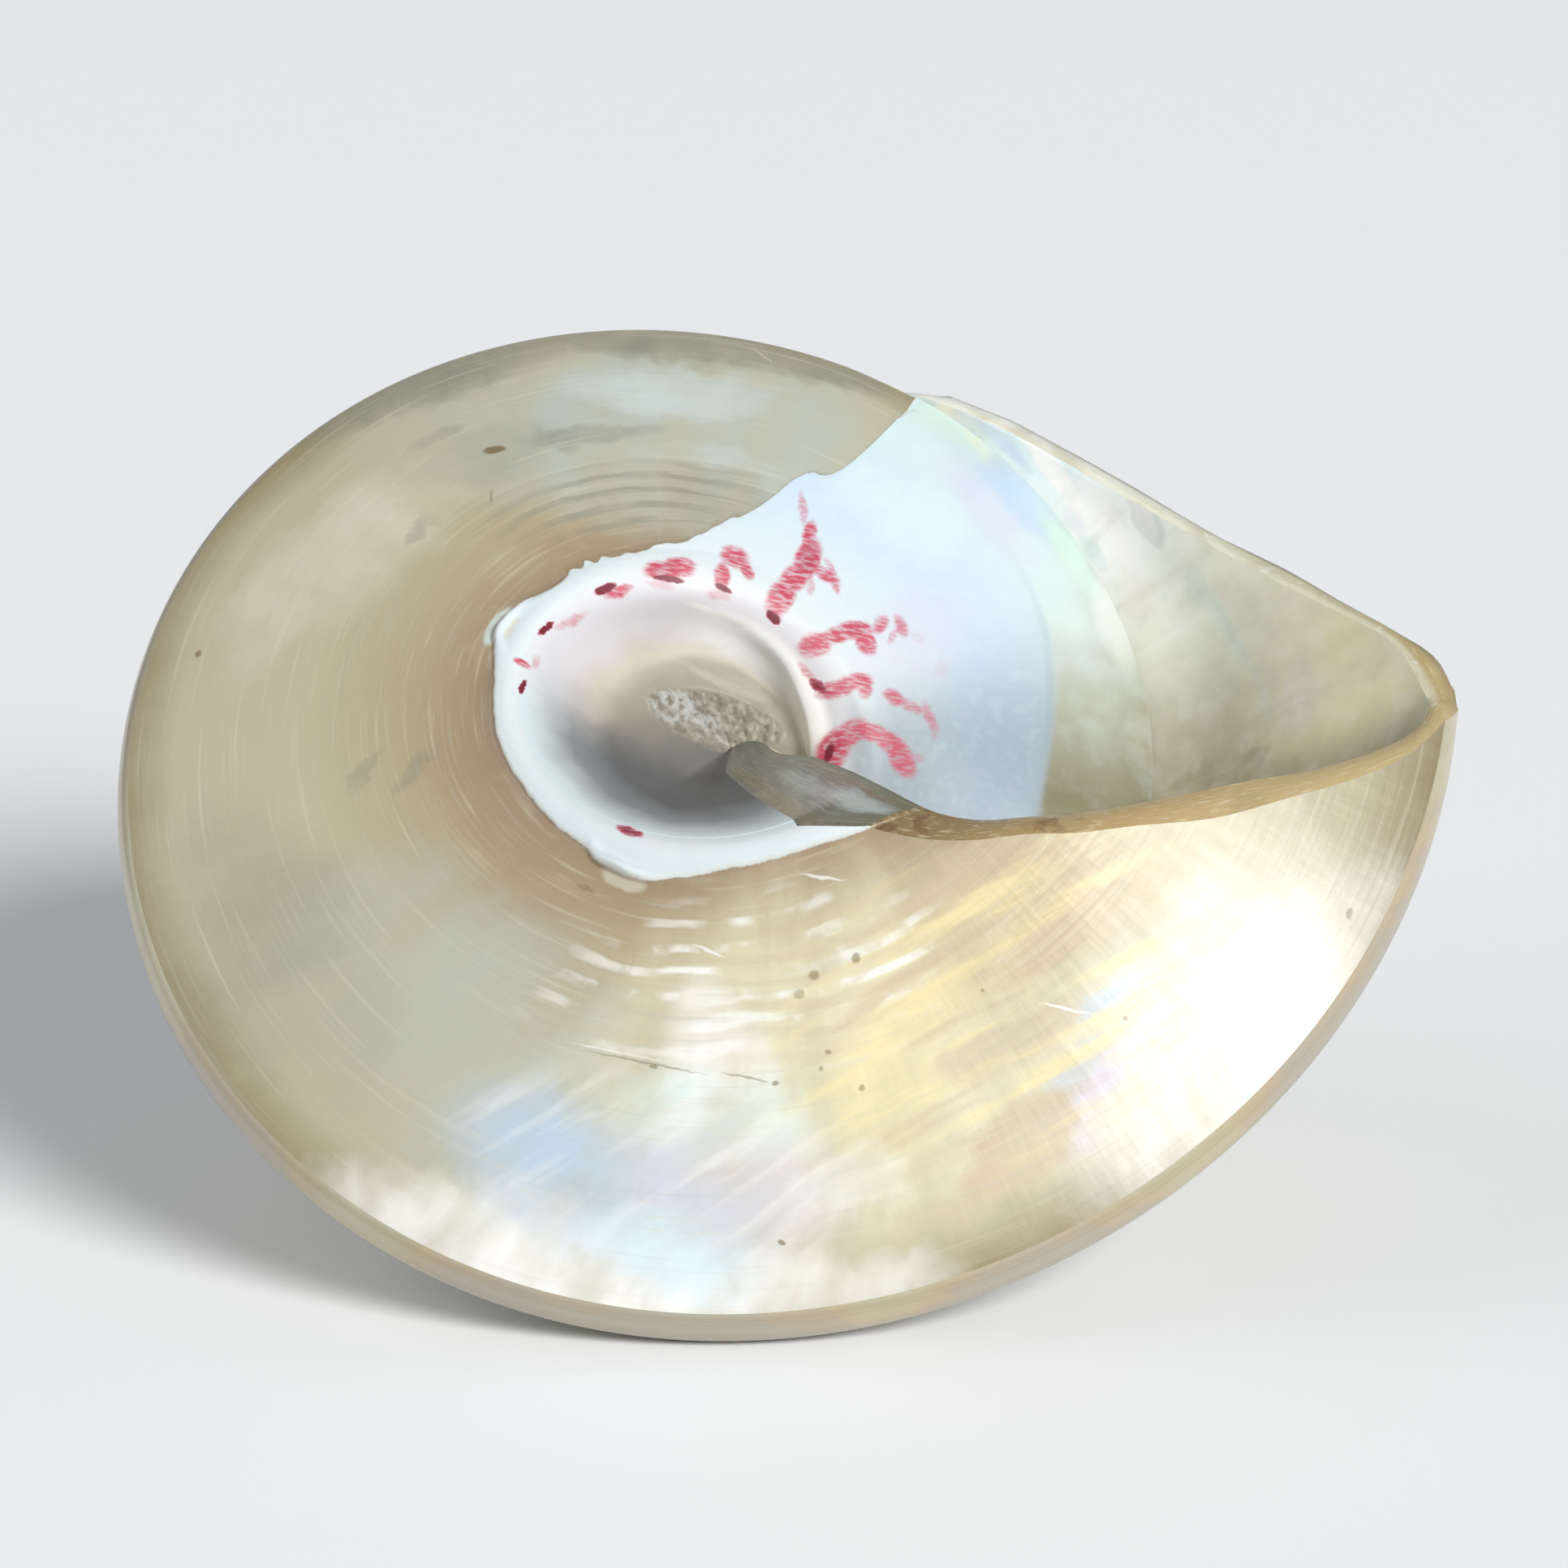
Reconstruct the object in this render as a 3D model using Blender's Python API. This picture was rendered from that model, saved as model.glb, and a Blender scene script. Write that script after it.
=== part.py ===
"""Polished trochus shell: one closed solid, lying on its side as it rests.

The shell is first drawn in its growth frame, with the apex at the origin and the coiling axis along +Z towards the
base. Angles are degrees of growth, 0 at the tip of the lip and negative before it. One turn of growth makes the
shell WHORL_RATIO times as large, so a section is given in units of the keel radius at its own angle. The finished
skin is then turned so that it lies on the keels of its whorls, with the base looking up and to the front.
"""

import math

import bmesh
import bpy
import numpy as np
from mathutils import Matrix, Vector

# Driving dimensions, metres and degrees
KEEL_RADIUS = 0.0565
WHORL_RATIO = 1.54
KEEL_DEPTH = 1.118
KEEL_BAND = 0.054
BASE_EDGE = 0.977
BASE_CROWN = 1.45
CALLUS_EDGE = 0.372
CALLUS_DEPTH = 1.335
RIDGE_RISE = 0.012
SIDE_WALL = 0.047
BASE_WALL = 0.043
LIP_SIDE_WALL = 0.022
LIP_BASE_WALL = 0.036
INNER_SUTURE = 0.95
COLUMELLA_FOOT = 0.42
HALF_CONE = math.radians(41.8)
AXIS_OFFSET = -2.5

# Growth rows
ROW_STEP = 7.5
LAST_EVEN_ROW = -67.5
LIP_ROWS = 18
SUTURE_END = 67.5
SPIRE_WHORLS = 5
CAVITY_END = -517.5
CONTACT_ROW = -90.0
FRONT_YAW = -1.6

# The lip: growth angle against the height on the side wall, and against the radius on the base
SIDE_LIP = ((0.0, 67.5), (0.06, 63.0), (0.13, 49.0), (0.22, 38.0), (0.33, 29.0), (0.49, 21.0), (0.64, 14.5),
            (0.80, 9.0), (0.92, 5.0), (1.0, 0.0))
BASE_LIP = ((0.37, -54.5), (0.404, -50.5), (0.438, -46.5), (0.48, -41.0), (0.52, -35.5), (0.57, -31.0),
            (0.634, -25.5), (0.72, -20.0), (0.80, -14.5), (0.88, -10.0), (0.93, -7.0), (0.966, -4.0), (1.0, 0.0))
INNER_LIP = ((0.40, -41.5), (0.43, -39.0), (0.50, -31.5), (0.55, -27.0), (0.616, -21.5), (0.70, -15.5),
             (0.774, -11.6), (0.866, -7.6), (0.94, -3.3), (0.96, -1.0), (1.0, 1.0))

# The funnel round the axis: its inner edge in keel radii, and the foot of its wall in metres, by growth angle
FUNNEL_EDGE = ((-430.0, 0.20), (-380.0, 0.21), (-345.0, 0.218), (-323.0, 0.226), (-305.0, 0.242), (-293.0, 0.25),
               (-270.0, 0.262), (-230.0, 0.282), (-200.0, 0.30), (-60.0, 0.305))
FUNNEL_FOOT_RADIUS = ((-430.0, 0.0060), (-395.0, 0.0070), (-360.0, 0.0076), (-304.0, 0.0078), (-201.0, 0.0078),
                      (-186.0, 0.0064), (-172.0, 0.0045), (-136.0, 0.0026), (-100.0, 0.0028), (-67.5, 0.0033))
FUNNEL_FOOT_DEPTH = ((-430.0, 0.0450), (-395.0, 0.0460), (-360.0, 0.0468), (-340.0, 0.0474), (-304.0, 0.0484),
                     (-270.0, 0.0502), (-240.0, 0.0514), (-201.0, 0.0526), (-172.0, 0.0508), (-136.0, 0.0499),
                     (-100.0, 0.0510), (-67.5, 0.0530))
FUNNEL_PIT = Vector((0.0017, 0.0021, 0.0468))

# The free edge of the columella fold, from the lip's corner down to the pit: radius, azimuth, height
FOLD_EDGE = ((0.0207, -43.7, 0.0696), (0.0144, -40.4, 0.0647), (0.0094, -34.4, 0.0599), (0.0051, -20.5, 0.0542))

# Columns of the strips, in keel radii on the base and in shares of the height on the side wall
SIDE_COLUMNS = (0.0, 0.12, 0.38, 0.72, 0.93, 1.0)
SIDE_BULGE = (0.0, 0.004, 0.007, 0.004, 0.006, 0.0)
BASE_COLUMNS = (1.0, 0.9975, 0.990, 0.977, 0.95, 0.90, 0.82, 0.73, 0.64, 0.56, 0.48, 0.42, 0.385, 0.36, 0.33, 0.305)
TUCKED_COLUMNS = (0.95, 0.945, 0.94, 0.933, 0.925)
LIP_COLUMNS = (0.42, 0.405, 0.392, 0.383, 0.375)
INNER_SIDE_COLUMNS = (0.18, 0.40, 0.62, 0.82)
INNER_BASE_COLUMNS = (0.82, 0.73, 0.64, 0.56, 0.50)

NACRE_COLOUR = (0.62, 0.57, 0.45, 1.0)
NACRE_ROUGHNESS = 0.22


def clear_scene():
    """Removes every object of the scene."""
    for item in list(bpy.data.objects):
        bpy.data.objects.remove(item, do_unlink=True)


def along(table, x):
    """The value of a two-column table at x, with straight lines between its rows."""
    xs = [row[0] for row in table]
    ys = [row[1] for row in table]
    return float(np.interp(x, xs, ys))


def ease(low, high, x):
    """Rises smoothly from 0 at low to 1 at high."""
    t = min(max((x - low) / (high - low), 0.0), 1.0)
    return t * t * (3.0 - 2.0 * t)


def growth(angle):
    """The keel radius at a growth angle."""
    return KEEL_RADIUS * WHORL_RATIO ** (angle / 360.0)


def swell(angle):
    """The uneven growth of a real shell: how far the outline departs from a pure spiral."""
    t = math.radians(angle)
    late = max((angle + 110.0) / 110.0, 0.0)
    wave = 0.0026 * math.cos(t) + 0.0014 * math.sin(t) + 0.002 * math.cos(2 * t) + 0.0064 * math.sin(2 * t)
    return 1.0 - 0.012 * late ** 2 + wave + 0.005 * math.cos(3 * t) + 0.0054 * math.sin(3 * t)


def place(angle, radius, height):
    """A point of the section at a growth angle, from its radius and height in keel radii."""
    size = growth(angle)
    turn = math.radians(angle + AXIS_OFFSET)
    reach = size * radius * (1.0 + (swell(angle) - 1.0) * ease(0.3, 1.0, radius))
    return Vector((reach * math.cos(turn), reach * math.sin(turn), size * height))


def round_axis(radius, azimuth, height):
    """A point in metres round the coiling axis."""
    turn = math.radians(azimuth)
    return Vector((radius * math.cos(turn), radius * math.sin(turn), height))


def base_height(radius, angle):
    """Height of the base surface at a radius: keel band, crowned base, then the callus ridge."""
    edge = KEEL_DEPTH + KEEL_BAND
    if radius > BASE_EDGE:
        band = ((BASE_EDGE, edge), (0.990, KEEL_DEPTH + 0.040), (0.9975, KEEL_DEPTH + 0.022), (1.0, KEEL_DEPTH))
        return along(band, radius)
    if radius >= CALLUS_EDGE:
        t = (radius - CALLUS_EDGE) / (BASE_EDGE - CALLUS_EDGE)
        return edge + (CALLUS_DEPTH - edge) * (1.0 - t ** BASE_CROWN)
    inner = along(FUNNEL_EDGE, angle)
    q = min((CALLUS_EDGE - radius) / (CALLUS_EDGE - inner), 1.0)
    return CALLUS_DEPTH + RIDGE_RISE * math.sin(math.pi * q) - 0.015 * q * q


def on_base(angle, radius, sunk=0.0):
    """A point on the base surface, or sunk below it by a share of the keel radius."""
    return place(angle, radius, base_height(radius, angle) - sunk)


def keel(angle):
    """The widest point of the whorl."""
    return place(angle, 1.0, KEEL_DEPTH)


def on_side(angle, share, bulge):
    """A point between the suture, which lies on the keel one turn before, and the keel."""
    turn = math.radians(angle + AXIS_OFFSET)
    flank = math.cos(HALF_CONE)
    out = Vector((flank * math.cos(turn), flank * math.sin(turn), -math.sin(HALF_CONE)))
    return keel(angle - 360.0).lerp(keel(angle), share) + out * (bulge * growth(angle))


def base_columns(angle):
    """Radii of the base strip's columns, narrowed where the next whorl covers the strip."""
    shown = ease(-427.5, -397.5, angle)
    free = ease(-330.0, -292.5, angle)
    tucked = TUCKED_COLUMNS + BASE_COLUMNS[len(TUCKED_COLUMNS):]
    last = len(BASE_COLUMNS) - 1
    radii = []
    for k, (full, covered) in enumerate(zip(BASE_COLUMNS, tucked)):
        deep = INNER_SUTURE + (COLUMELLA_FOOT - INNER_SUTURE) * k / last
        inside = deep + (covered - deep) * shown
        radii.append(inside + (full - inside) * free)
    return radii


def even_rows(first):
    """Growth angles from first to the last even row."""
    count = round((LAST_EVEN_ROW - first) / ROW_STEP)
    return [first + ROW_STEP * k for k in range(count + 1)]


def lip_angle(end, share):
    """Growth angle of a row on its way from the last even row to the lip."""
    return LAST_EVEN_ROW + (end - LAST_EVEN_ROW) * share


def side_rows():
    """Outer side wall of all whorls, suture to keel, ending at the lip."""
    rows = []
    for angle in even_rows(LAST_EVEN_ROW - 360.0 * SPIRE_WHORLS):
        rows.append([on_side(angle, s, b) for s, b in zip(SIDE_COLUMNS, SIDE_BULGE)])
    ends = [along(SIDE_LIP, s) for s in SIDE_COLUMNS]
    for k in range(1, LIP_ROWS + 1):
        share = k / LIP_ROWS
        thin = 1.0 - 0.5 * share
        rows.append([on_side(lip_angle(end, share), s, b * thin) for s, b, end in zip(SIDE_COLUMNS, SIDE_BULGE, ends)])
    return rows


def base_rows():
    """The base from keel to callus: deep in the mouth it is the wall between two whorls."""
    rows = []
    for angle in even_rows(CAVITY_END - 360.0):
        rows.append([on_base(angle, r) for r in base_columns(angle)])
    ends = BASE_COLUMNS[:-len(LIP_COLUMNS)] + LIP_COLUMNS
    for k in range(1, LIP_ROWS + 1):
        share = k / LIP_ROWS
        row = []
        for full, end in zip(BASE_COLUMNS, ends):
            radius = full + (end - full) * share
            row.append(on_base(lip_angle(along(BASE_LIP, end), share), radius))
        rows.append(row)
    return rows


def funnel_row(angle):
    """One row of the funnel: callus ridge, wall, foot and floor, down to the pit."""
    start = base_columns(angle)[-1]
    edge = along(FUNNEL_EDGE, angle)
    rim = on_base(angle, edge)
    turn = angle + AXIS_OFFSET
    foot = round_axis(along(FUNNEL_FOOT_RADIUS, angle), turn, along(FUNNEL_FOOT_DEPTH, angle))
    row = [on_base(angle, start), on_base(angle, (start + edge) / 2), rim]
    for share in (1 / 3, 2 / 3):
        sag = Vector((0.0, 0.0, -0.0006 * 4 * share * (1 - share)))
        row.append(rim.lerp(foot, share) + sag)
    row += [foot, foot.lerp(FUNNEL_PIT, 0.5), FUNNEL_PIT.copy()]
    return row


def funnel_rows():
    """One turn of the funnel, from under the fold round to the fold."""
    return [funnel_row(angle) for angle in even_rows(LAST_EVEN_ROW - 360.0)]


def inner_row(angle):
    """Section of the cavity wall away from the lip: suture, side, keel, base and columella."""
    before = angle - 360.0
    row = [on_base(before, base_columns(before)[0])]
    row += [on_side(angle, s, -SIDE_WALL) for s in INNER_SIDE_COLUMNS]
    row += [place(angle, 0.935, KEEL_DEPTH + 0.004), place(angle, 0.932, KEEL_DEPTH + 0.022)]
    row += [on_base(angle, r, BASE_WALL) for r in (0.905,) + INNER_BASE_COLUMNS]
    row += [on_base(angle, 0.45, BASE_WALL * 1.15)]
    row += [place(angle, r, z) for r, z in ((0.42, 1.25), (0.365, 1.15), (0.31, 1.02), (0.28, 0.92))]
    row.append(on_base(before, COLUMELLA_FOOT))
    return row


def inner_lip_row():
    """The cavity's edge at the lip, from the suture round the keel and down the fold."""
    row = [keel(SUTURE_END - 360.0)]
    for s in INNER_SIDE_COLUMNS:
        row.append(on_side(along(SIDE_LIP, s) - 1.0, s, -LIP_SIDE_WALL))
    row += [place(1.0, 0.955, KEEL_DEPTH - 0.004), place(0.0, 0.957, KEEL_DEPTH + 0.020)]
    for r in (0.935,) + INNER_BASE_COLUMNS + (0.45,):
        row.append(on_base(along(INNER_LIP, r), r, LIP_BASE_WALL))
    row += [round_axis(*point) for point in FOLD_EDGE]
    row.append(FUNNEL_PIT.copy())
    return row


def swing(start, end, share):
    """A point between two others, moved round the axis and not through it."""
    first = math.atan2(start.y, start.x)
    turn = (math.atan2(end.y, end.x) - first + math.pi) % (2 * math.pi) - math.pi
    reach = start.to_2d().length + (end.to_2d().length - start.to_2d().length) * share
    angle = first + turn * share
    return Vector((reach * math.cos(angle), reach * math.sin(angle), start.z + (end.z - start.z) * share))


def inner_rows(funnel_start):
    """The cavity wall from its closed end to the lip. Its foot follows the start of the funnel to the pit."""
    rows = [inner_row(angle) for angle in even_rows(CAVITY_END)]
    last, end = rows[-1], inner_lip_row()
    steps = len(funnel_start) - 1
    for k in range(1, LIP_ROWS + 1):
        before = LAST_EVEN_ROW + ROW_STEP * k - 360.0
        row = [on_base(before, base_columns(before)[0])]
        row += [swing(a, b, k / LIP_ROWS) for a, b in zip(last[1:-1], end[1:-1])]
        row.append(funnel_start[steps * (k - 1) // (LIP_ROWS - 1)].copy())
        rows.append(row)
    return rows


class Skin:
    """Collects the patches of one closed skin."""

    def __init__(self):
        self.mesh = bmesh.new()

    def grid(self, rows, flip=False):
        """Adds a grid of quads and returns its vertices, row by row."""
        verts = [[self.mesh.verts.new(point) for point in row] for row in rows]
        for row, after in zip(verts, verts[1:]):
            for a, b, c, d in zip(row, row[1:], after[1:], after):
                self.mesh.faces.new((a, b, c, d) if flip else (d, c, b, a))
        return verts

    def fan(self, point, ring):
        """Closes a ring of vertices with triangles to one point."""
        centre = self.mesh.verts.new(point)
        for a, b in zip(ring, ring[1:] + ring[:1]):
            self.mesh.faces.new((centre, a, b))

    def lace(self, first, second):
        """Joins two chains that start and end together by the shorter diagonals."""
        i = j = 0
        while i < len(first) - 1 or j < len(second) - 1:
            if j == len(second) - 1:
                ahead = True
            elif i == len(first) - 1:
                ahead = False
            else:
                ahead = (first[i + 1].co - second[j].co).length < (first[i].co - second[j + 1].co).length
            if ahead:
                self.mesh.faces.new((first[i], first[i + 1], second[j]))
                i += 1
            else:
                self.mesh.faces.new((first[i], second[j + 1], second[j]))
                j += 1

    def close(self):
        """Welds the patches and turns every face outwards."""
        bmesh.ops.remove_doubles(self.mesh, verts=self.mesh.verts, dist=0.000002)
        bmesh.ops.dissolve_degenerate(self.mesh, edges=self.mesh.edges, dist=0.000002)
        bmesh.ops.triangulate(self.mesh, faces=self.mesh.faces)
        bmesh.ops.recalc_face_normals(self.mesh, faces=self.mesh.faces)


def resting_turn():
    """The rotation that lays the shell on its keels at the contact row, base to the front and up."""
    old = CONTACT_ROW - 360.0 * (SPIRE_WHORLS - 1)
    left, right = keel(CONTACT_ROW), keel(CONTACT_ROW + ROW_STEP)
    apex_side = (keel(old) + keel(old + ROW_STEP)) / 2
    down = (right - left).cross(apex_side - left).normalized()
    if down.dot(Vector((left.x, left.y, 0.0))) < 0.0:
        down.negate()
    up = -down
    ahead = Vector((0.0, 0.0, 1.0)) - up * up.z
    front = ahead.normalized()
    side = up.cross(-front)
    turn = Matrix((-side, -front, up)).to_4x4()
    return Matrix.Rotation(math.radians(FRONT_YAW), 4, "Z") @ turn


def build_skin():
    """The whole shell as one closed skin, in the growth frame."""
    skin = Skin()
    side = skin.grid(side_rows())
    base = skin.grid(base_rows())
    funnel = skin.grid(funnel_rows())
    inner = skin.grid(inner_rows(funnel_row(LAST_EVEN_ROW - 360.0)), flip=True)
    rows_per_turn = round(360.0 / ROW_STEP)
    crown = [side[k][0] for k in range(rows_per_turn)] + side[0][:0:-1]
    skin.fan(Vector((0.0, 0.0, side[0][0].co.z * 0.28)), crown)
    deep = inner[0] + base[0][-2:0:-1]
    centre = sum((vert.co for vert in deep), Vector()) / len(deep)
    skin.fan(centre, deep)
    outer_chain = side[-1] + base[-1][1:]
    outer_chain += [base[-1 - k][-1] for k in range(1, LIP_ROWS + 1)]
    outer_chain += funnel[-1][1:]
    skin.lace(outer_chain, inner[-1])
    skin.close()
    return skin.mesh


def nacre():
    """Polished mother-of-pearl."""
    material = bpy.data.materials.new("nacre")
    material.use_nodes = True
    shader = material.node_tree.nodes["Principled BSDF"]
    shader.inputs["Base Color"].default_value = NACRE_COLOUR
    shader.inputs["Roughness"].default_value = NACRE_ROUGHNESS
    shader.inputs["Metallic"].default_value = 0.0
    material.diffuse_color = NACRE_COLOUR
    return material


def build_shell():
    """The shell as one object, resting on the ground plane round the origin."""
    mesh = build_skin()
    bmesh.ops.transform(mesh, matrix=resting_turn(), verts=mesh.verts)
    points = np.array([vert.co for vert in mesh.verts])
    low, high = points.min(axis=0), points.max(axis=0)
    shift = Vector((-(low[0] + high[0]) / 2, -(low[1] + high[1]) / 2, -low[2]))
    bmesh.ops.translate(mesh, vec=shift, verts=mesh.verts)
    data = bpy.data.meshes.new("trochus_shell")
    mesh.to_mesh(data)
    mesh.free()
    shell = bpy.data.objects.new("trochus_shell", data)
    shell.data.materials.append(nacre())
    bpy.context.scene.collection.objects.link(shell)
    return shell


clear_scene()
build_shell()
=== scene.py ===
"""Polished trochus shell lying on its side on a pale floor.

The shell is worked out in its growth frame, with the apex at the origin and the coiling axis along +Z
towards the base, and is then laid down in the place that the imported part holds. Angles are degrees of growth,
0 at the tip of the lip and negative before it, and lengths on a section are in keel radii at its own angle.
"""

import logging
import math
from dataclasses import dataclass
from enum import Enum
from typing import Sequence

import bpy
import numpy as np
from mathutils import Matrix, Vector


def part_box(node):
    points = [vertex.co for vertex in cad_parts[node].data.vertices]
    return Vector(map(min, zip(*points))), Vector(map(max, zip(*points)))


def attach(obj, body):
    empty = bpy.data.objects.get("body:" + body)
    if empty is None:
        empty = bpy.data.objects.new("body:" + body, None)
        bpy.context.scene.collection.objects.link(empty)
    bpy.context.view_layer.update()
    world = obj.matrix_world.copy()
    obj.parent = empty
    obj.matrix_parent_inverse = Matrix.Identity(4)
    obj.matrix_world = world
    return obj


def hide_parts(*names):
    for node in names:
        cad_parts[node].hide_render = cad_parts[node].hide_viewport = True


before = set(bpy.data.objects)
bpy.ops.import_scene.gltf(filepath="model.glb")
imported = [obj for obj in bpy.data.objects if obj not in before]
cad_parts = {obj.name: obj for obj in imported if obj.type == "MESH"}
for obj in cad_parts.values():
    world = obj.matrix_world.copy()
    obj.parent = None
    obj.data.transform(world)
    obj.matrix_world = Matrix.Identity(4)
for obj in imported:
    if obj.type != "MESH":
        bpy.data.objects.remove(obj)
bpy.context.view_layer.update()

LOG = logging.getLogger("trochus")
NODE = "trochus_shell"
BODY = "root"
# Stations of the mouth are numbered from the suture, 0, over the keel and the base to the funnel's pit
LAST_STATION = 18.0

Array = np.ndarray
Table = Sequence[tuple[float, float]]
Colour = tuple[float, float, float, float]


# ---- Curves and smooth steps ----


def flow(table: Table, x: Array | float) -> Array:
    """Reads a two-column table as a smooth curve that never overshoots its own rows.

    Args:
        table: Rows of (place, value), with the places rising.
        x: Where to read it.

    Returns:
        The curve's values, in the shape of x.
    """
    xs, ys = (np.array(column, float) for column in zip(*table))
    steps = np.diff(xs)
    slopes = np.diff(ys) / steps
    tangent = np.zeros(len(xs))
    tangent[0], tangent[-1] = slopes[0], slopes[-1]
    before, after = slopes[:-1], slopes[1:]
    same = before * after > 0.0
    safe = np.where(same, before + after, 1.0)
    tangent[1:-1] = np.where(same, 2.0 * before * after / safe, 0.0)
    x = np.clip(np.asarray(x, float), xs[0], xs[-1])
    k = np.clip(np.searchsorted(xs, x, side="right") - 1, 0, len(steps) - 1)
    t = (x - xs[k]) / steps[k]
    low = ys[k] * (1 + 2 * t) * (1 - t) ** 2 + tangent[k] * steps[k] * t * (1 - t) ** 2
    high = ys[k + 1] * t * t * (3 - 2 * t) + tangent[k + 1] * steps[k] * t * t * (t - 1)
    return low + high


def ease(low: float, high: float, x: Array | float) -> Array:
    """Rises smoothly from 0 at low to 1 at high."""
    t = np.clip((np.asarray(x, float) - low) / (high - low), 0.0, 1.0)
    return t * t * (3.0 - 2.0 * t)


def bump(centre: float, width: float, x: Array | float) -> Array:
    """A soft hump of height 1 round a centre."""
    return np.exp(-(((np.asarray(x, float) - centre) / width) ** 2))


def through(net: Array, at: Array) -> Array:
    """Draws a smooth curve through the points of a net and reads it at fractional point numbers.

    Args:
        net: Points along the last axis but one.
        at: Fractional point numbers from 0 to the last.

    Returns:
        One point for each number, in place of the net's points.
    """
    last = net.shape[-2] - 1
    k = np.clip(np.floor(at).astype(int), 0, last - 1)
    t = (at - k)[:, None]
    a, b = net[..., np.clip(k - 1, 0, last), :], net[..., k, :]
    c, d = net[..., k + 1, :], net[..., np.clip(k + 2, 0, last), :]
    rise, settle = (c - a) / 2, (d - b) / 2
    near = b * (1 + 2 * t) * (1 - t) ** 2 + rise * t * (1 - t) ** 2
    far = c * t * t * (3 - 2 * t) + settle * t * t * (t - 1)
    return near + far


def evenly(chain: Array, count: int) -> Array:
    """Resamples a chain of points at equal steps of its own length.

    Args:
        chain: Points along the chain.
        count: How many points to make.

    Returns:
        The new points.
    """
    lengths = np.concatenate(([0.0], np.cumsum(np.linalg.norm(np.diff(chain, axis=0), axis=1))))
    wanted = np.linspace(0.0, lengths[-1], count)
    return np.stack([np.interp(wanted, lengths, chain[:, axis]) for axis in range(3)], axis=-1)


# ---- The growth law ----


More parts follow.
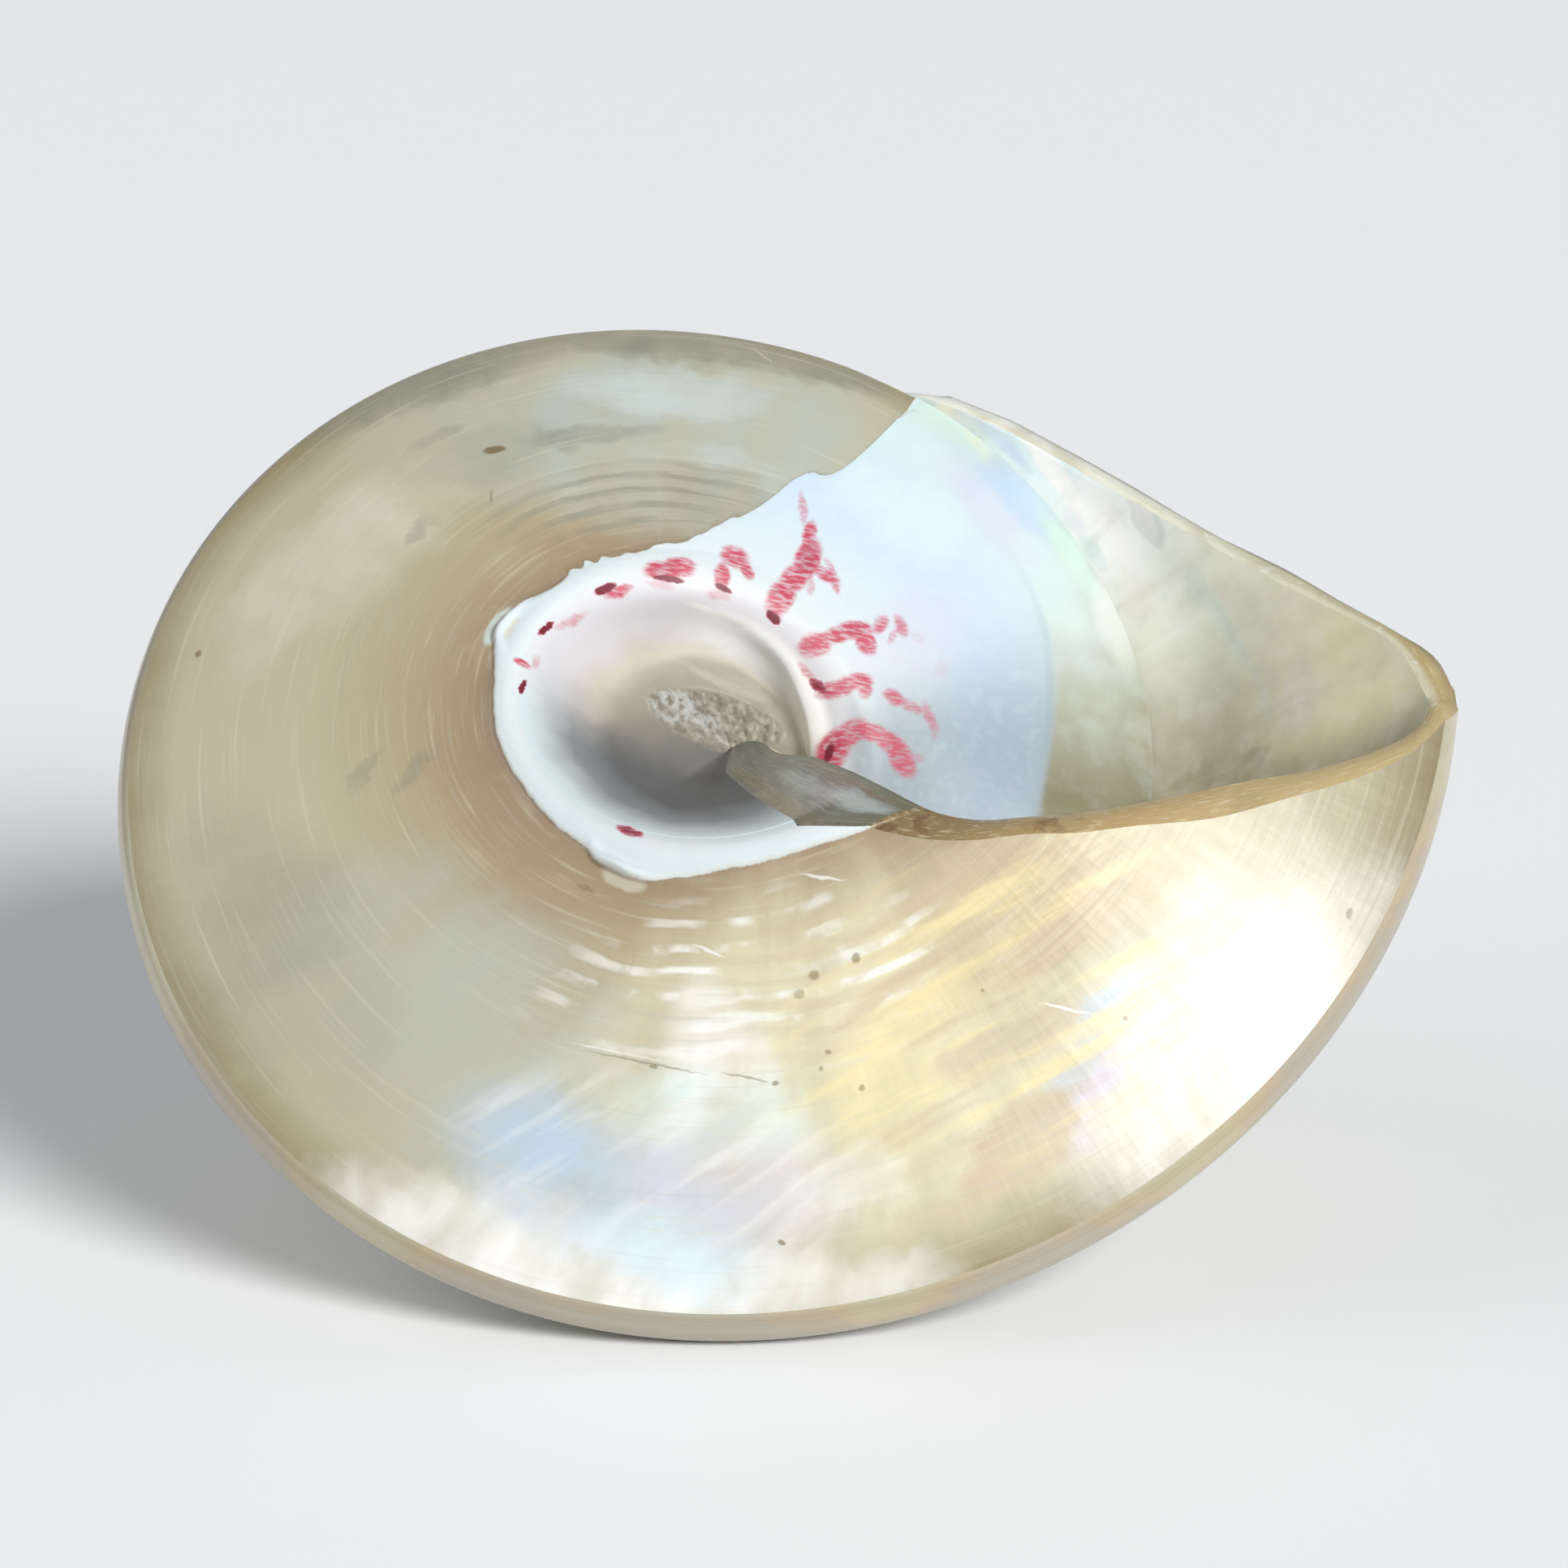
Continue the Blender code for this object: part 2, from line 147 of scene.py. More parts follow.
@dataclass(frozen=True)
class Growth:
    """The law that every whorl follows, and the outlines of the lip.

    Each turn of growth makes the shell whorl_ratio times as large.
    """

    keel_radius: float = 0.0565
    whorl_ratio: float = 1.54
    keel_depth: float = 1.118
    base_edge: float = 0.977
    edge_height: float = 1.172
    base_crown: float = 1.45
    callus_edge: float = 0.372
    callus_depth: float = 1.335
    ridge_rise: float = 0.012
    ridge_dip: float = 0.015
    half_cone: float = math.radians(41.8)
    axis_offset: float = -2.5
    last_even_row: float = -67.5
    suture_end: float = 67.5
    contact_row: float = -90.0
    contact_step: float = 7.5
    contact_whorls: int = 4
    front_yaw: float = -1.6
    side_lip: Table = ((0.0, 67.5), (0.06, 63.0), (0.13, 49.0), (0.22, 38.0), (0.33, 29.0), (0.49, 21.0),
                       (0.64, 14.5), (0.8, 9.0), (0.92, 5.0), (1.0, 0.0))
    base_lip: Table = ((0.37, -54.5), (0.404, -50.5), (0.438, -46.5), (0.48, -41.0), (0.52, -35.5),
                       (0.57, -31.0), (0.634, -25.5), (0.72, -20.0), (0.8, -14.5), (0.88, -10.0),
                       (0.93, -7.0), (0.966, -4.0), (1.0, 0.0))
    inner_lip: Table = ((0.4, -41.5), (0.43, -39.0), (0.5, -31.5), (0.55, -27.0), (0.616, -21.5),
                        (0.7, -15.5), (0.774, -11.6), (0.866, -7.6), (0.94, -3.3), (0.96, -1.0), (1.0, 1.0))
    funnel_edge: Table = ((-430.0, 0.2), (-380.0, 0.21), (-345.0, 0.218), (-323.0, 0.226), (-305.0, 0.242),
                          (-293.0, 0.25), (-270.0, 0.262), (-230.0, 0.282), (-200.0, 0.3), (-60.0, 0.305))
    foot_radius: Table = ((-430.0, 0.006), (-395.0, 0.007), (-360.0, 0.0076), (-304.0, 0.0078),
                          (-201.0, 0.0078), (-186.0, 0.0064), (-172.0, 0.0045), (-136.0, 0.0026),
                          (-100.0, 0.0028), (-67.5, 0.0033))
    foot_depth: Table = ((-430.0, 0.045), (-395.0, 0.046), (-360.0, 0.0468), (-340.0, 0.0474),
                         (-304.0, 0.0484), (-270.0, 0.0502), (-240.0, 0.0514), (-201.0, 0.0526),
                         (-172.0, 0.0508), (-136.0, 0.0499), (-100.0, 0.051), (-67.5, 0.053))
    pit: tuple[float, float, float] = (0.0017, 0.0021, 0.0468)

    def size(self, angle: Array | float) -> Array:
        """The keel radius at a growth angle."""
        return self.keel_radius * self.whorl_ratio ** (np.asarray(angle, float) / 360.0)

    def swell(self, angle: Array | float) -> Array:
        """How far the outline of a real shell departs from a pure spiral.

        Args:
            angle: Growth angles in degrees.

        Returns:
            The factor on the radius, near 1.
        """
        t = np.radians(angle)
        late = np.maximum((np.asarray(angle, float) + 110.0) / 110.0, 0.0)
        wave = 0.0026 * np.cos(t) + 0.0014 * np.sin(t) + 0.002 * np.cos(2 * t) + 0.0064 * np.sin(2 * t)
        return 1.0 - 0.012 * late**2 + wave + 0.005 * np.cos(3 * t) + 0.0054 * np.sin(3 * t)

    def place(self, angle: Array | float, radius: Array | float, height: Array | float) -> Array:
        """Turns growth angle, radius and height, the last two in keel radii, into points in metres.

        Args:
            angle: Growth angles in degrees.
            radius: Radii in keel radii.
            height: Heights in keel radii.

        Returns:
            Points in the growth frame.
        """
        angle, radius, height = np.broadcast_arrays(*(np.asarray(x, float) for x in (angle, radius, height)))
        size = self.size(angle)
        turn = np.radians(angle + self.axis_offset)
        reach = size * radius * (1.0 + (self.swell(angle) - 1.0) * ease(0.3, 1.0, radius))
        return np.stack([reach * np.cos(turn), reach * np.sin(turn), size * height], axis=-1)

    def base_height(self, radius: Array | float, angle: Array | float) -> Array:
        """Height of the base: crowned from the keel band inwards, with the callus ridge round the funnel.

        Args:
            radius: Radii in keel radii.
            angle: Growth angles in degrees.

        Returns:
            Heights in keel radii.
        """
        radius, angle = np.broadcast_arrays(np.asarray(radius, float), np.asarray(angle, float))
        edge, top = self.edge_height, self.callus_depth
        t = np.clip((radius - self.callus_edge) / (self.base_edge - self.callus_edge), 0.0, 1.0)
        crowned = edge + (top - edge) * (1.0 - t**self.base_crown)
        inner = flow(self.funnel_edge, angle)
        q = np.clip((self.callus_edge - radius) / (self.callus_edge - inner), 0.0, 1.0)
        return crowned + self.ridge_rise * np.sin(np.pi * q) - self.ridge_dip * q * q

    def on_base(self, angle: Array | float, radius: Array | float, lift: Array | float = 0.0) -> Array:
        """Points on the base, lifted off it by a share of the keel radius."""
        return self.place(angle, radius, self.base_height(radius, angle) + lift)

    def on_side(self, angle: Array | float, share: Array | float, bulge: Array | float) -> Array:
        """Points on the side wall, from the suture, on the keel one turn before, to the keel.

        Args:
            angle: Growth angles in degrees.
            share: Place from the suture, 0, to the keel, 1.
            bulge: How far the wall stands out, in keel radii.

        Returns:
            Points in the growth frame.
        """
        angle, share, bulge = np.broadcast_arrays(*(np.asarray(x, float) for x in (angle, share, bulge)))
        turn = np.radians(angle + self.axis_offset)
        flank = math.cos(self.half_cone)
        down = np.full_like(turn, -math.sin(self.half_cone))
        out = np.stack([flank * np.cos(turn), flank * np.sin(turn), down], axis=-1)
        start = self.place(angle - 360.0, 1.0, self.keel_depth)
        end = self.place(angle, 1.0, self.keel_depth)
        return start + (end - start) * share[..., None] + out * (bulge * self.size(angle))[..., None]

    def resting_turn(self) -> Matrix:
        """The rotation that lays the shell on the keels of its whorls, with the base to the front and up.

        Returns:
            The rotation, as a 4 by 4 matrix.
        """
        def keel(angle: float) -> Vector:
            """The widest point of the whorl."""
            return Vector(self.place(angle, 1.0, self.keel_depth))

        old = self.contact_row - 360.0 * self.contact_whorls
        left, right = keel(self.contact_row), keel(self.contact_row + self.contact_step)
        apex_side = (keel(old) + keel(old + self.contact_step)) / 2
        down = (right - left).cross(apex_side - left).normalized()
        if down.dot(Vector((left.x, left.y, 0.0))) < 0.0:
            down.negate()
        up = -down
        front = (Vector((0.0, 0.0, 1.0)) - up * up.z).normalized()
        side = up.cross(-front)
        return Matrix.Rotation(math.radians(self.front_yaw), 4, "Z") @ Matrix((-side, -front, up)).to_4x4()


GROWTH = Growth()


# ---- Mesh work ----


def deselect() -> None:
    """Leaves object mode's selection empty, because an operator acts on all that is selected."""
    if bpy.context.mode != "OBJECT":
        bpy.ops.object.mode_set(mode="OBJECT")
    bpy.ops.object.select_all(action="DESELECT")


def pick(obj: bpy.types.Object, *others: bpy.types.Object) -> None:
    """Selects only the given objects and makes the first one active.

    Args:
        obj: The object to make active.
        others: Further objects to select.
    """
    deselect()
    for item in (obj, *others):
        item.select_set(True)
    bpy.context.view_layer.objects.active = obj


def lay_grid(name: str, points: Array, marks: dict[str, Array], material: bpy.types.Material,
             flip: bool = False) -> bpy.types.Object:
    """Adds a grid and carries its crossings to their places on a surface of growth.

    Args:
        name: The object's name.
        points: Places in the growth frame, rows by columns by 3.
        marks: Vectors to keep on the crossings, each rows by columns by 3.
        material: The strip's finish.
        flip: Turns the faces to the other side.

    Returns:
        The new object.
    """
    if flip:
        points = points[:, ::-1]
        marks = {key: value[:, ::-1] for key, value in marks.items()}
    rows, columns = points.shape[:2]
    deselect()
    bpy.ops.mesh.primitive_grid_add(x_subdivisions=columns - 1, y_subdivisions=rows - 1, size=1.0)
    obj = bpy.context.object
    obj.name = name
    mesh = obj.data
    mesh.name = name
    places = np.zeros(len(mesh.vertices) * 3)
    mesh.vertices.foreach_get("co", places)
    places = places.reshape(-1, 3)
    column = np.rint((places[:, 0] + 0.5) * (columns - 1)).astype(int)
    row = np.rint((places[:, 1] + 0.5) * (rows - 1)).astype(int)
    mesh.vertices.foreach_set("co", points[row, column].ravel())
    for key, value in marks.items():
        layer = mesh.attributes.new(key, "FLOAT_VECTOR", "POINT")
        layer.data.foreach_set("vector", value[row, column].ravel())
    for layer in list(mesh.uv_layers):
        mesh.uv_layers.remove(layer)
    mesh.materials.append(material)
    mesh.update()
    return obj


def weld(obj: bpy.types.Object, *others: bpy.types.Object, gap: float = 0.000002) -> None:
    """Joins patches into the first one and merges their shared edges.

    Args:
        obj: The object that stays.
        others: Patches to join into it.
        gap: Points nearer than this are merged, in metres.
    """
    pick(obj, *others)
    if others:
        bpy.ops.object.join()
    bpy.ops.object.mode_set(mode="EDIT")
    bpy.ops.mesh.select_all(action="SELECT")
    bpy.ops.mesh.remove_doubles(threshold=gap)
    bpy.ops.mesh.dissolve_degenerate(threshold=gap)
    bpy.ops.mesh.select_all(action="DESELECT")
    bpy.ops.object.mode_set(mode="OBJECT")


def smooth(obj: bpy.types.Object, angle: float) -> None:
    """Shades smooth, with edges sharper than an angle in degrees kept crisp."""
    pick(obj)
    bpy.ops.object.shade_smooth_by_angle(angle=math.radians(angle))


# ---- Shader work ----


def tint(red: int, green: int, blue: int) -> Colour:
    """Turns a colour written from 0 to 255 into the linear values that a shader reads.

    Args:
        red: Red.
        green: Green.
        blue: Blue.

    Returns:
        The linear colour.
    """
    def linear(x: int) -> float:
        """One channel."""
        c = x / 255.0
        return c / 12.92 if c <= 0.04045 else ((c + 0.055) / 1.055) ** 2.4

    return linear(red), linear(green), linear(blue), 1.0


class Link:
    """A number or colour that varies over the surface, for writing node maths as Python expressions."""

    def __init__(self, graph: "Graph", socket: bpy.types.NodeSocket) -> None:
        """Wraps an output socket of a graph."""
        self.graph = graph
        self.socket = socket

    def _with(self, operation: str, *values: "Link | float") -> "Link":
        """Adds one Math node."""
        return self.graph.node("ShaderNodeMath", {"operation": operation}, dict(enumerate(values)))

    def __add__(self, other: "Link | float") -> "Link":
        """Sum."""
        return self._with("ADD", self, other)

    __radd__ = __add__

    def __sub__(self, other: "Link | float") -> "Link":
        """Difference."""
        return self._with("SUBTRACT", self, other)

    def __rsub__(self, other: float) -> "Link":
        """Difference, the other way round."""
        return self._with("SUBTRACT", other, self)

    def __mul__(self, other: "Link | float") -> "Link":
        """Product."""
        return self._with("MULTIPLY", self, other)

    __rmul__ = __mul__

    def most(self, other: "Link | float") -> "Link":
        """The larger of two."""
        return self._with("MAXIMUM", self, other)

    def size(self) -> "Link":
        """The value without its sign."""
        return self._with("ABSOLUTE", self)

    def wave(self) -> "Link":
        """A wave between 0 and 1 that repeats at every whole number."""
        return self._with("SINE", self * math.tau) * 0.5 + 0.5

    def rise(self, low: float, high: float, top: float = 1.0) -> "Link":
        """Smooth step from 0 at low to top at high, which may be smaller than low."""
        return self.graph.node("ShaderNodeMapRange", {"interpolation_type": "SMOOTHSTEP"},
                               {"Value": self, "From Min": low, "From Max": high, "To Max": top})

    def hump(self, centre: float, width: float) -> "Link":
        """1 at the centre, falling smoothly to 0 a width away on both sides."""
        return (self - centre).size().rise(width, 0.0)


class Graph:
    """One material's node tree, with short ways to add nodes."""

    def __init__(self, name: str) -> None:
        """Makes a material that holds only its Principled shader.

        Args:
            name: The material's name.
        """
        self.material = bpy.data.materials.new(name)
        self.material.use_nodes = True
        self.tree = self.material.node_tree
        self.shader = self.tree.nodes["Principled BSDF"]

    def plug(self, socket: bpy.types.NodeSocket, value: object) -> None:
        """Links a socket, or sets it directly.

        Args:
            socket: The input socket.
            value: A link, or the value itself.
        """
        if isinstance(value, Link):
            self.tree.links.new(value.socket, socket)
        else:
            socket.default_value = value

    def node(self, kind: str, settings: dict[str, object], inputs: dict[str | int, object],
             output: str | int = 0) -> Link:
        """Adds a node.

        Args:
            kind: The node's type.
            settings: Its own settings.
            inputs: Values or links for its sockets, by name or number.
            output: The output socket to return.

        Returns:
            The chosen output.
        """
        made = self.tree.nodes.new(kind)
        for key, value in settings.items():
            if key == "stops":
                self.fill_ramp(made, value)
            else:
                setattr(made, key, value)
        for key, value in inputs.items():
            self.plug(made.inputs[key], value)
        return Link(self, made.outputs[output])

    def fill_ramp(self, made: bpy.types.Node, stops: Sequence[tuple[float, Colour]]) -> None:
        """Gives a ramp node its stops.

        Args:
            made: The ramp node.
            stops: Places and their colours, in rising order.
        """
        elements = made.color_ramp.elements
        while len(elements) < len(stops):
            elements.new(0.5)
        for element, (place, colour) in zip(elements, stops):
            element.position, element.color = place, colour

    def kept(self, name: str) -> Link:
        """One of the vectors kept on the crossings."""
        return self.node("ShaderNodeAttribute", {"attribute_name": name}, {}, "Vector")

    def layer(self, name: str) -> tuple[Link, Link, Link]:
        """The three numbers of a kept vector."""
        vector = self.kept(name)
        return tuple(self.node("ShaderNodeSeparateXYZ", {}, {0: vector}, k) for k in range(3))

    def vector(self, x: Link | float, y: Link | float, z: Link | float = 0.0) -> Link:
        """Three numbers as one vector."""
        return self.node("ShaderNodeCombineXYZ", {}, {0: x, 1: y, 2: z})

    def noise(self, place: Link, scale: float, detail: float = 3.0, output: str = "Fac") -> Link:
        """Cloudy noise round 0.5."""
        inputs = {"Vector": place, "Scale": scale, "Detail": detail}
        return self.node("ShaderNodeTexNoise", {}, inputs, output)

    def ragged(self, place: Link, scale: float, reach: float) -> Link:
        """Shifts a place by noise, so that whatever is drawn there gets a ragged edge.

        Args:
            place: The place to shift.
            scale: How fine the noise is.
            reach: How far it shifts, from end to end.

        Returns:
            The shifted place.
        """
        shift = self.node("ShaderNodeVectorMath", {"operation": "SUBTRACT"},
                          {0: self.noise(place, scale, 3.0, "Color"), 1: (0.5, 0.5, 0.5)})
        return self.node("ShaderNodeVectorMath", {"operation": "MULTIPLY_ADD"},
                         {0: shift, 1: (reach, reach, 0.0), 2: place})

    def blend(self, factor: Link | float, low: Link | Colour, high: Link | Colour, kind: str = "MIX") -> Link:
        """Mixes two colours."""
        settings = {"data_type": "RGBA", "blend_type": kind}
        return self.node("ShaderNodeMix", settings, {0: factor, 6: low, 7: high}, 2)

    def lay(self, colour: Link | Colour, *coats: "tuple[Link | float, Tone]") -> Link:
        """Lays thin coats of tone one over another.

        Args:
            colour: The colour below.
            coats: How thick each coat is, from 0 to 1, and its tone, lowest first.

        Returns:
            The colour with the coats on it.
        """
        for factor, tone in coats:
            colour = self.blend(factor, colour, tone.value)
        return colour

    def ramp(self, factor: Link, *stops: tuple[float, Colour]) -> Link:
        """A colour read from a row of stops."""
        return self.node("ShaderNodeValToRGB", {"stops": stops}, {0: factor})

    def within(self, place: Link, daub: "Daub") -> Link:
        """The daub's strength inside its oval, falling to 0 at its edge.

        Args:
            place: The place on the surface.
            daub: The oval.

        Returns:
            The strength.
        """
        turn = math.radians(daub.turn)
        middle = (daub.x, daub.y, 0.0)
        from_middle = self.node("ShaderNodeVectorMath", {"operation": "SUBTRACT"}, {0: place, 1: middle})
        ways = ((math.cos(turn) / daub.long, math.sin(turn) / daub.long, 0.0),
                (-math.sin(turn) / daub.wide, math.cos(turn) / daub.wide, 0.0))
        dot = {"operation": "DOT_PRODUCT"}
        u, v = (self.node("ShaderNodeVectorMath", dot, {0: from_middle, 1: way}, "Value") for way in ways)
        far = self.node("ShaderNodeMath", {"operation": "MULTIPLY_ADD"}, {0: u, 1: u, 2: v * v})
        return far.rise(1.0, (1.0 - daub.soft) ** 2, daub.strength)

    def paint(self, colour: Link | Colour, place: Link, daubs: Sequence["Daub"],
              streaks: Link | float = 1.0) -> Link | Colour:
        """Lays daubs of colour one over another, broken up by streaks.

        Args:
            colour: The colour below.
            place: The place on the surface.
            daubs: The daubs, lowest first.
            streaks: A factor on every daub's strength.

        Returns:
            The colour with the daubs on it.
        """
        for daub in daubs:
            colour = self.blend(self.within(place, daub) * streaks, colour, daub.tone.value)
        return colour

    def relief(self, height: Link, depth: float) -> Link:
        """A bump from a height between 0 and 1, depth metres deep."""
        return self.node("ShaderNodeBump", {}, {"Height": height, "Distance": depth, "Strength": 1.0})

    def dress(self, colour: Link, height: Link, depth: float, gloss: "Gloss", unevenness: Link,
              **changed: Link | float) -> bpy.types.Material:
        """Gives the shader a colour, a relief and a gloss.

        Args:
            colour: The surface's colour.
            height: The relief's height, from 0 to 1.
            depth: The relief's depth in metres.
            gloss: How polished the surface is.
            unevenness: Noise round 0.5 that varies the roughness.
            changed: Values or links that differ from the gloss's own, by socket name.

        Returns:
            The finished material.
        """
        sockets = gloss.sockets(unevenness) | changed
        return self.finish(Base_Color=colour, Normal=self.relief(height, depth), **sockets)

    def finish(self, **sockets: Link | float | Colour) -> bpy.types.Material:
        """Fills the shader's sockets; underscores in the names stand for blanks.

        Args:
            sockets: Values or links by socket name.

        Returns:
            The finished material.
        """
        for key, value in sockets.items():
            self.plug(self.shader.inputs[key.replace("_", " ")], value)
        return self.material


# ---- Finishes ----


class Tone(Enum):
    """The shell's colours, some of which are also laid on as painted highlight, sheen and shade."""

    KHAKI = tint(182, 176, 146)
    SAND = tint(196, 180, 152)
    CREAM = tint(226, 220, 190)
    BUTTER = tint(232, 220, 168)
    WHITE = tint(236, 235, 230)
    PALE = tint(206, 204, 186)
    ROSE = tint(160, 138, 114)
    BLUSH = tint(222, 204, 198)
    SAGE = tint(178, 184, 174)
    SMOKE = tint(132, 132, 118)
    ICE = tint(182, 206, 232)
    LILAC = tint(208, 204, 222)
    MINT = tint(196, 222, 208)
    MIST = tint(192, 203, 200)
    FROST = tint(214, 234, 234)
    SNOW = tint(250, 250, 246)
    TAN = tint(156, 140, 106)
    OLIVE = tint(116, 110, 78)
    RUST = tint(128, 90, 62)
    SPECK = tint(118, 98, 62)


@dataclass(frozen=True)
class Daub:
    """A soft oval of colour: its middle, half lengths, turn in degrees, tone, strength and softness."""

    x: float
    y: float
    long: float
    wide: float
    turn: float
    tone: Tone
    strength: float = 0.5
    soft: float = 0.8


@dataclass(frozen=True)
class Stroke:
    """A stroke of red in the callus: middle, half lengths, turn in degrees, strength and depth of the red."""

    x: float
    y: float
    long: float
    wide: float
    turn: float
    strength: float = 0.8
    deep: float = 0.0


@dataclass(frozen=True)
class Gloss:
    """How polished a finish is."""

    roughness: float = 0.3
    spread: float = 0.12
    metallic: float = 0.0
    coat: float = 0.25
    coat_roughness: float = 0.12

    def sockets(self, unevenness: Link) -> dict[str, Link | float]:
        """Works out the shader's gloss, with the roughness varied over the surface.

        Args:
            unevenness: Noise round 0.5.

        Returns:
            Values by socket name.
        """
        roughness = (unevenness - 0.5) * (2.0 * self.spread) + self.roughness
        return {"Roughness": roughness, "Metallic": self.metallic, "Coat_Weight": self.coat,
                "Coat_Roughness": self.coat_roughness}


@dataclass(frozen=True)
class Pearl:
    """The polished mother-of-pearl of the side walls."""

    gloss: Gloss = Gloss(roughness=0.3, spread=0.1, metallic=0.16, coat=0.35)

    def material(self) -> bpy.types.Material:
        """Makes the material from turns of growth and the place across the whorl.

        Returns:
            The material.
        """
        graph = Graph("pearl_side")
        turns, _, across = graph.layer("growth")
        plan = graph.kept("plan")
        cloud = graph.noise(plan, 38.0, 4.0)
        fine = graph.noise(plan, 260.0, 4.0)
        grown = graph.noise(graph.vector(turns * 90.0 + across * 7.0, across * 3.0), 1.0, 4.0)
        spiral = graph.noise(graph.vector(turns * 2.0, across * 34.0, 3.0), 1.0, 3.0)
        colour = graph.ramp(cloud, (0.3, Tone.KHAKI.value), (0.48, Tone.SAND.value),
                            (0.62, Tone.CREAM.value))
        play = (across * 2.2 + cloud * 1.6 + grown * 0.5).wave()
        hue = graph.ramp(play, (0.0, Tone.MINT.value), (0.35, Tone.CREAM.value), (0.6, Tone.BLUSH.value),
                         (1.0, Tone.ICE.value))
        colour = graph.blend(0.38, colour, hue)
        colour = graph.lay(colour, (grown.rise(0.55, 0.3) * 0.35, Tone.SAGE),
                                   (spiral.rise(0.52, 0.7) * 0.45, Tone.WHITE),
                                   (spiral.rise(0.46, 0.3) * 0.3, Tone.ROSE))
        suture = across.rise(0.05, 0.0) * 0.5
        colour = graph.lay(colour, (suture, Tone.TAN), (across.rise(0.97, 1.06) * 0.55, Tone.TAN))
        early = turns.rise(-2.6, -5.5)
        colour = graph.lay(colour, (early * 0.5, Tone.ROSE))
        height = grown * 0.5 + spiral * 0.3 + fine * 0.2
        return graph.dress(colour, height, 0.00016, self.gloss, fine)


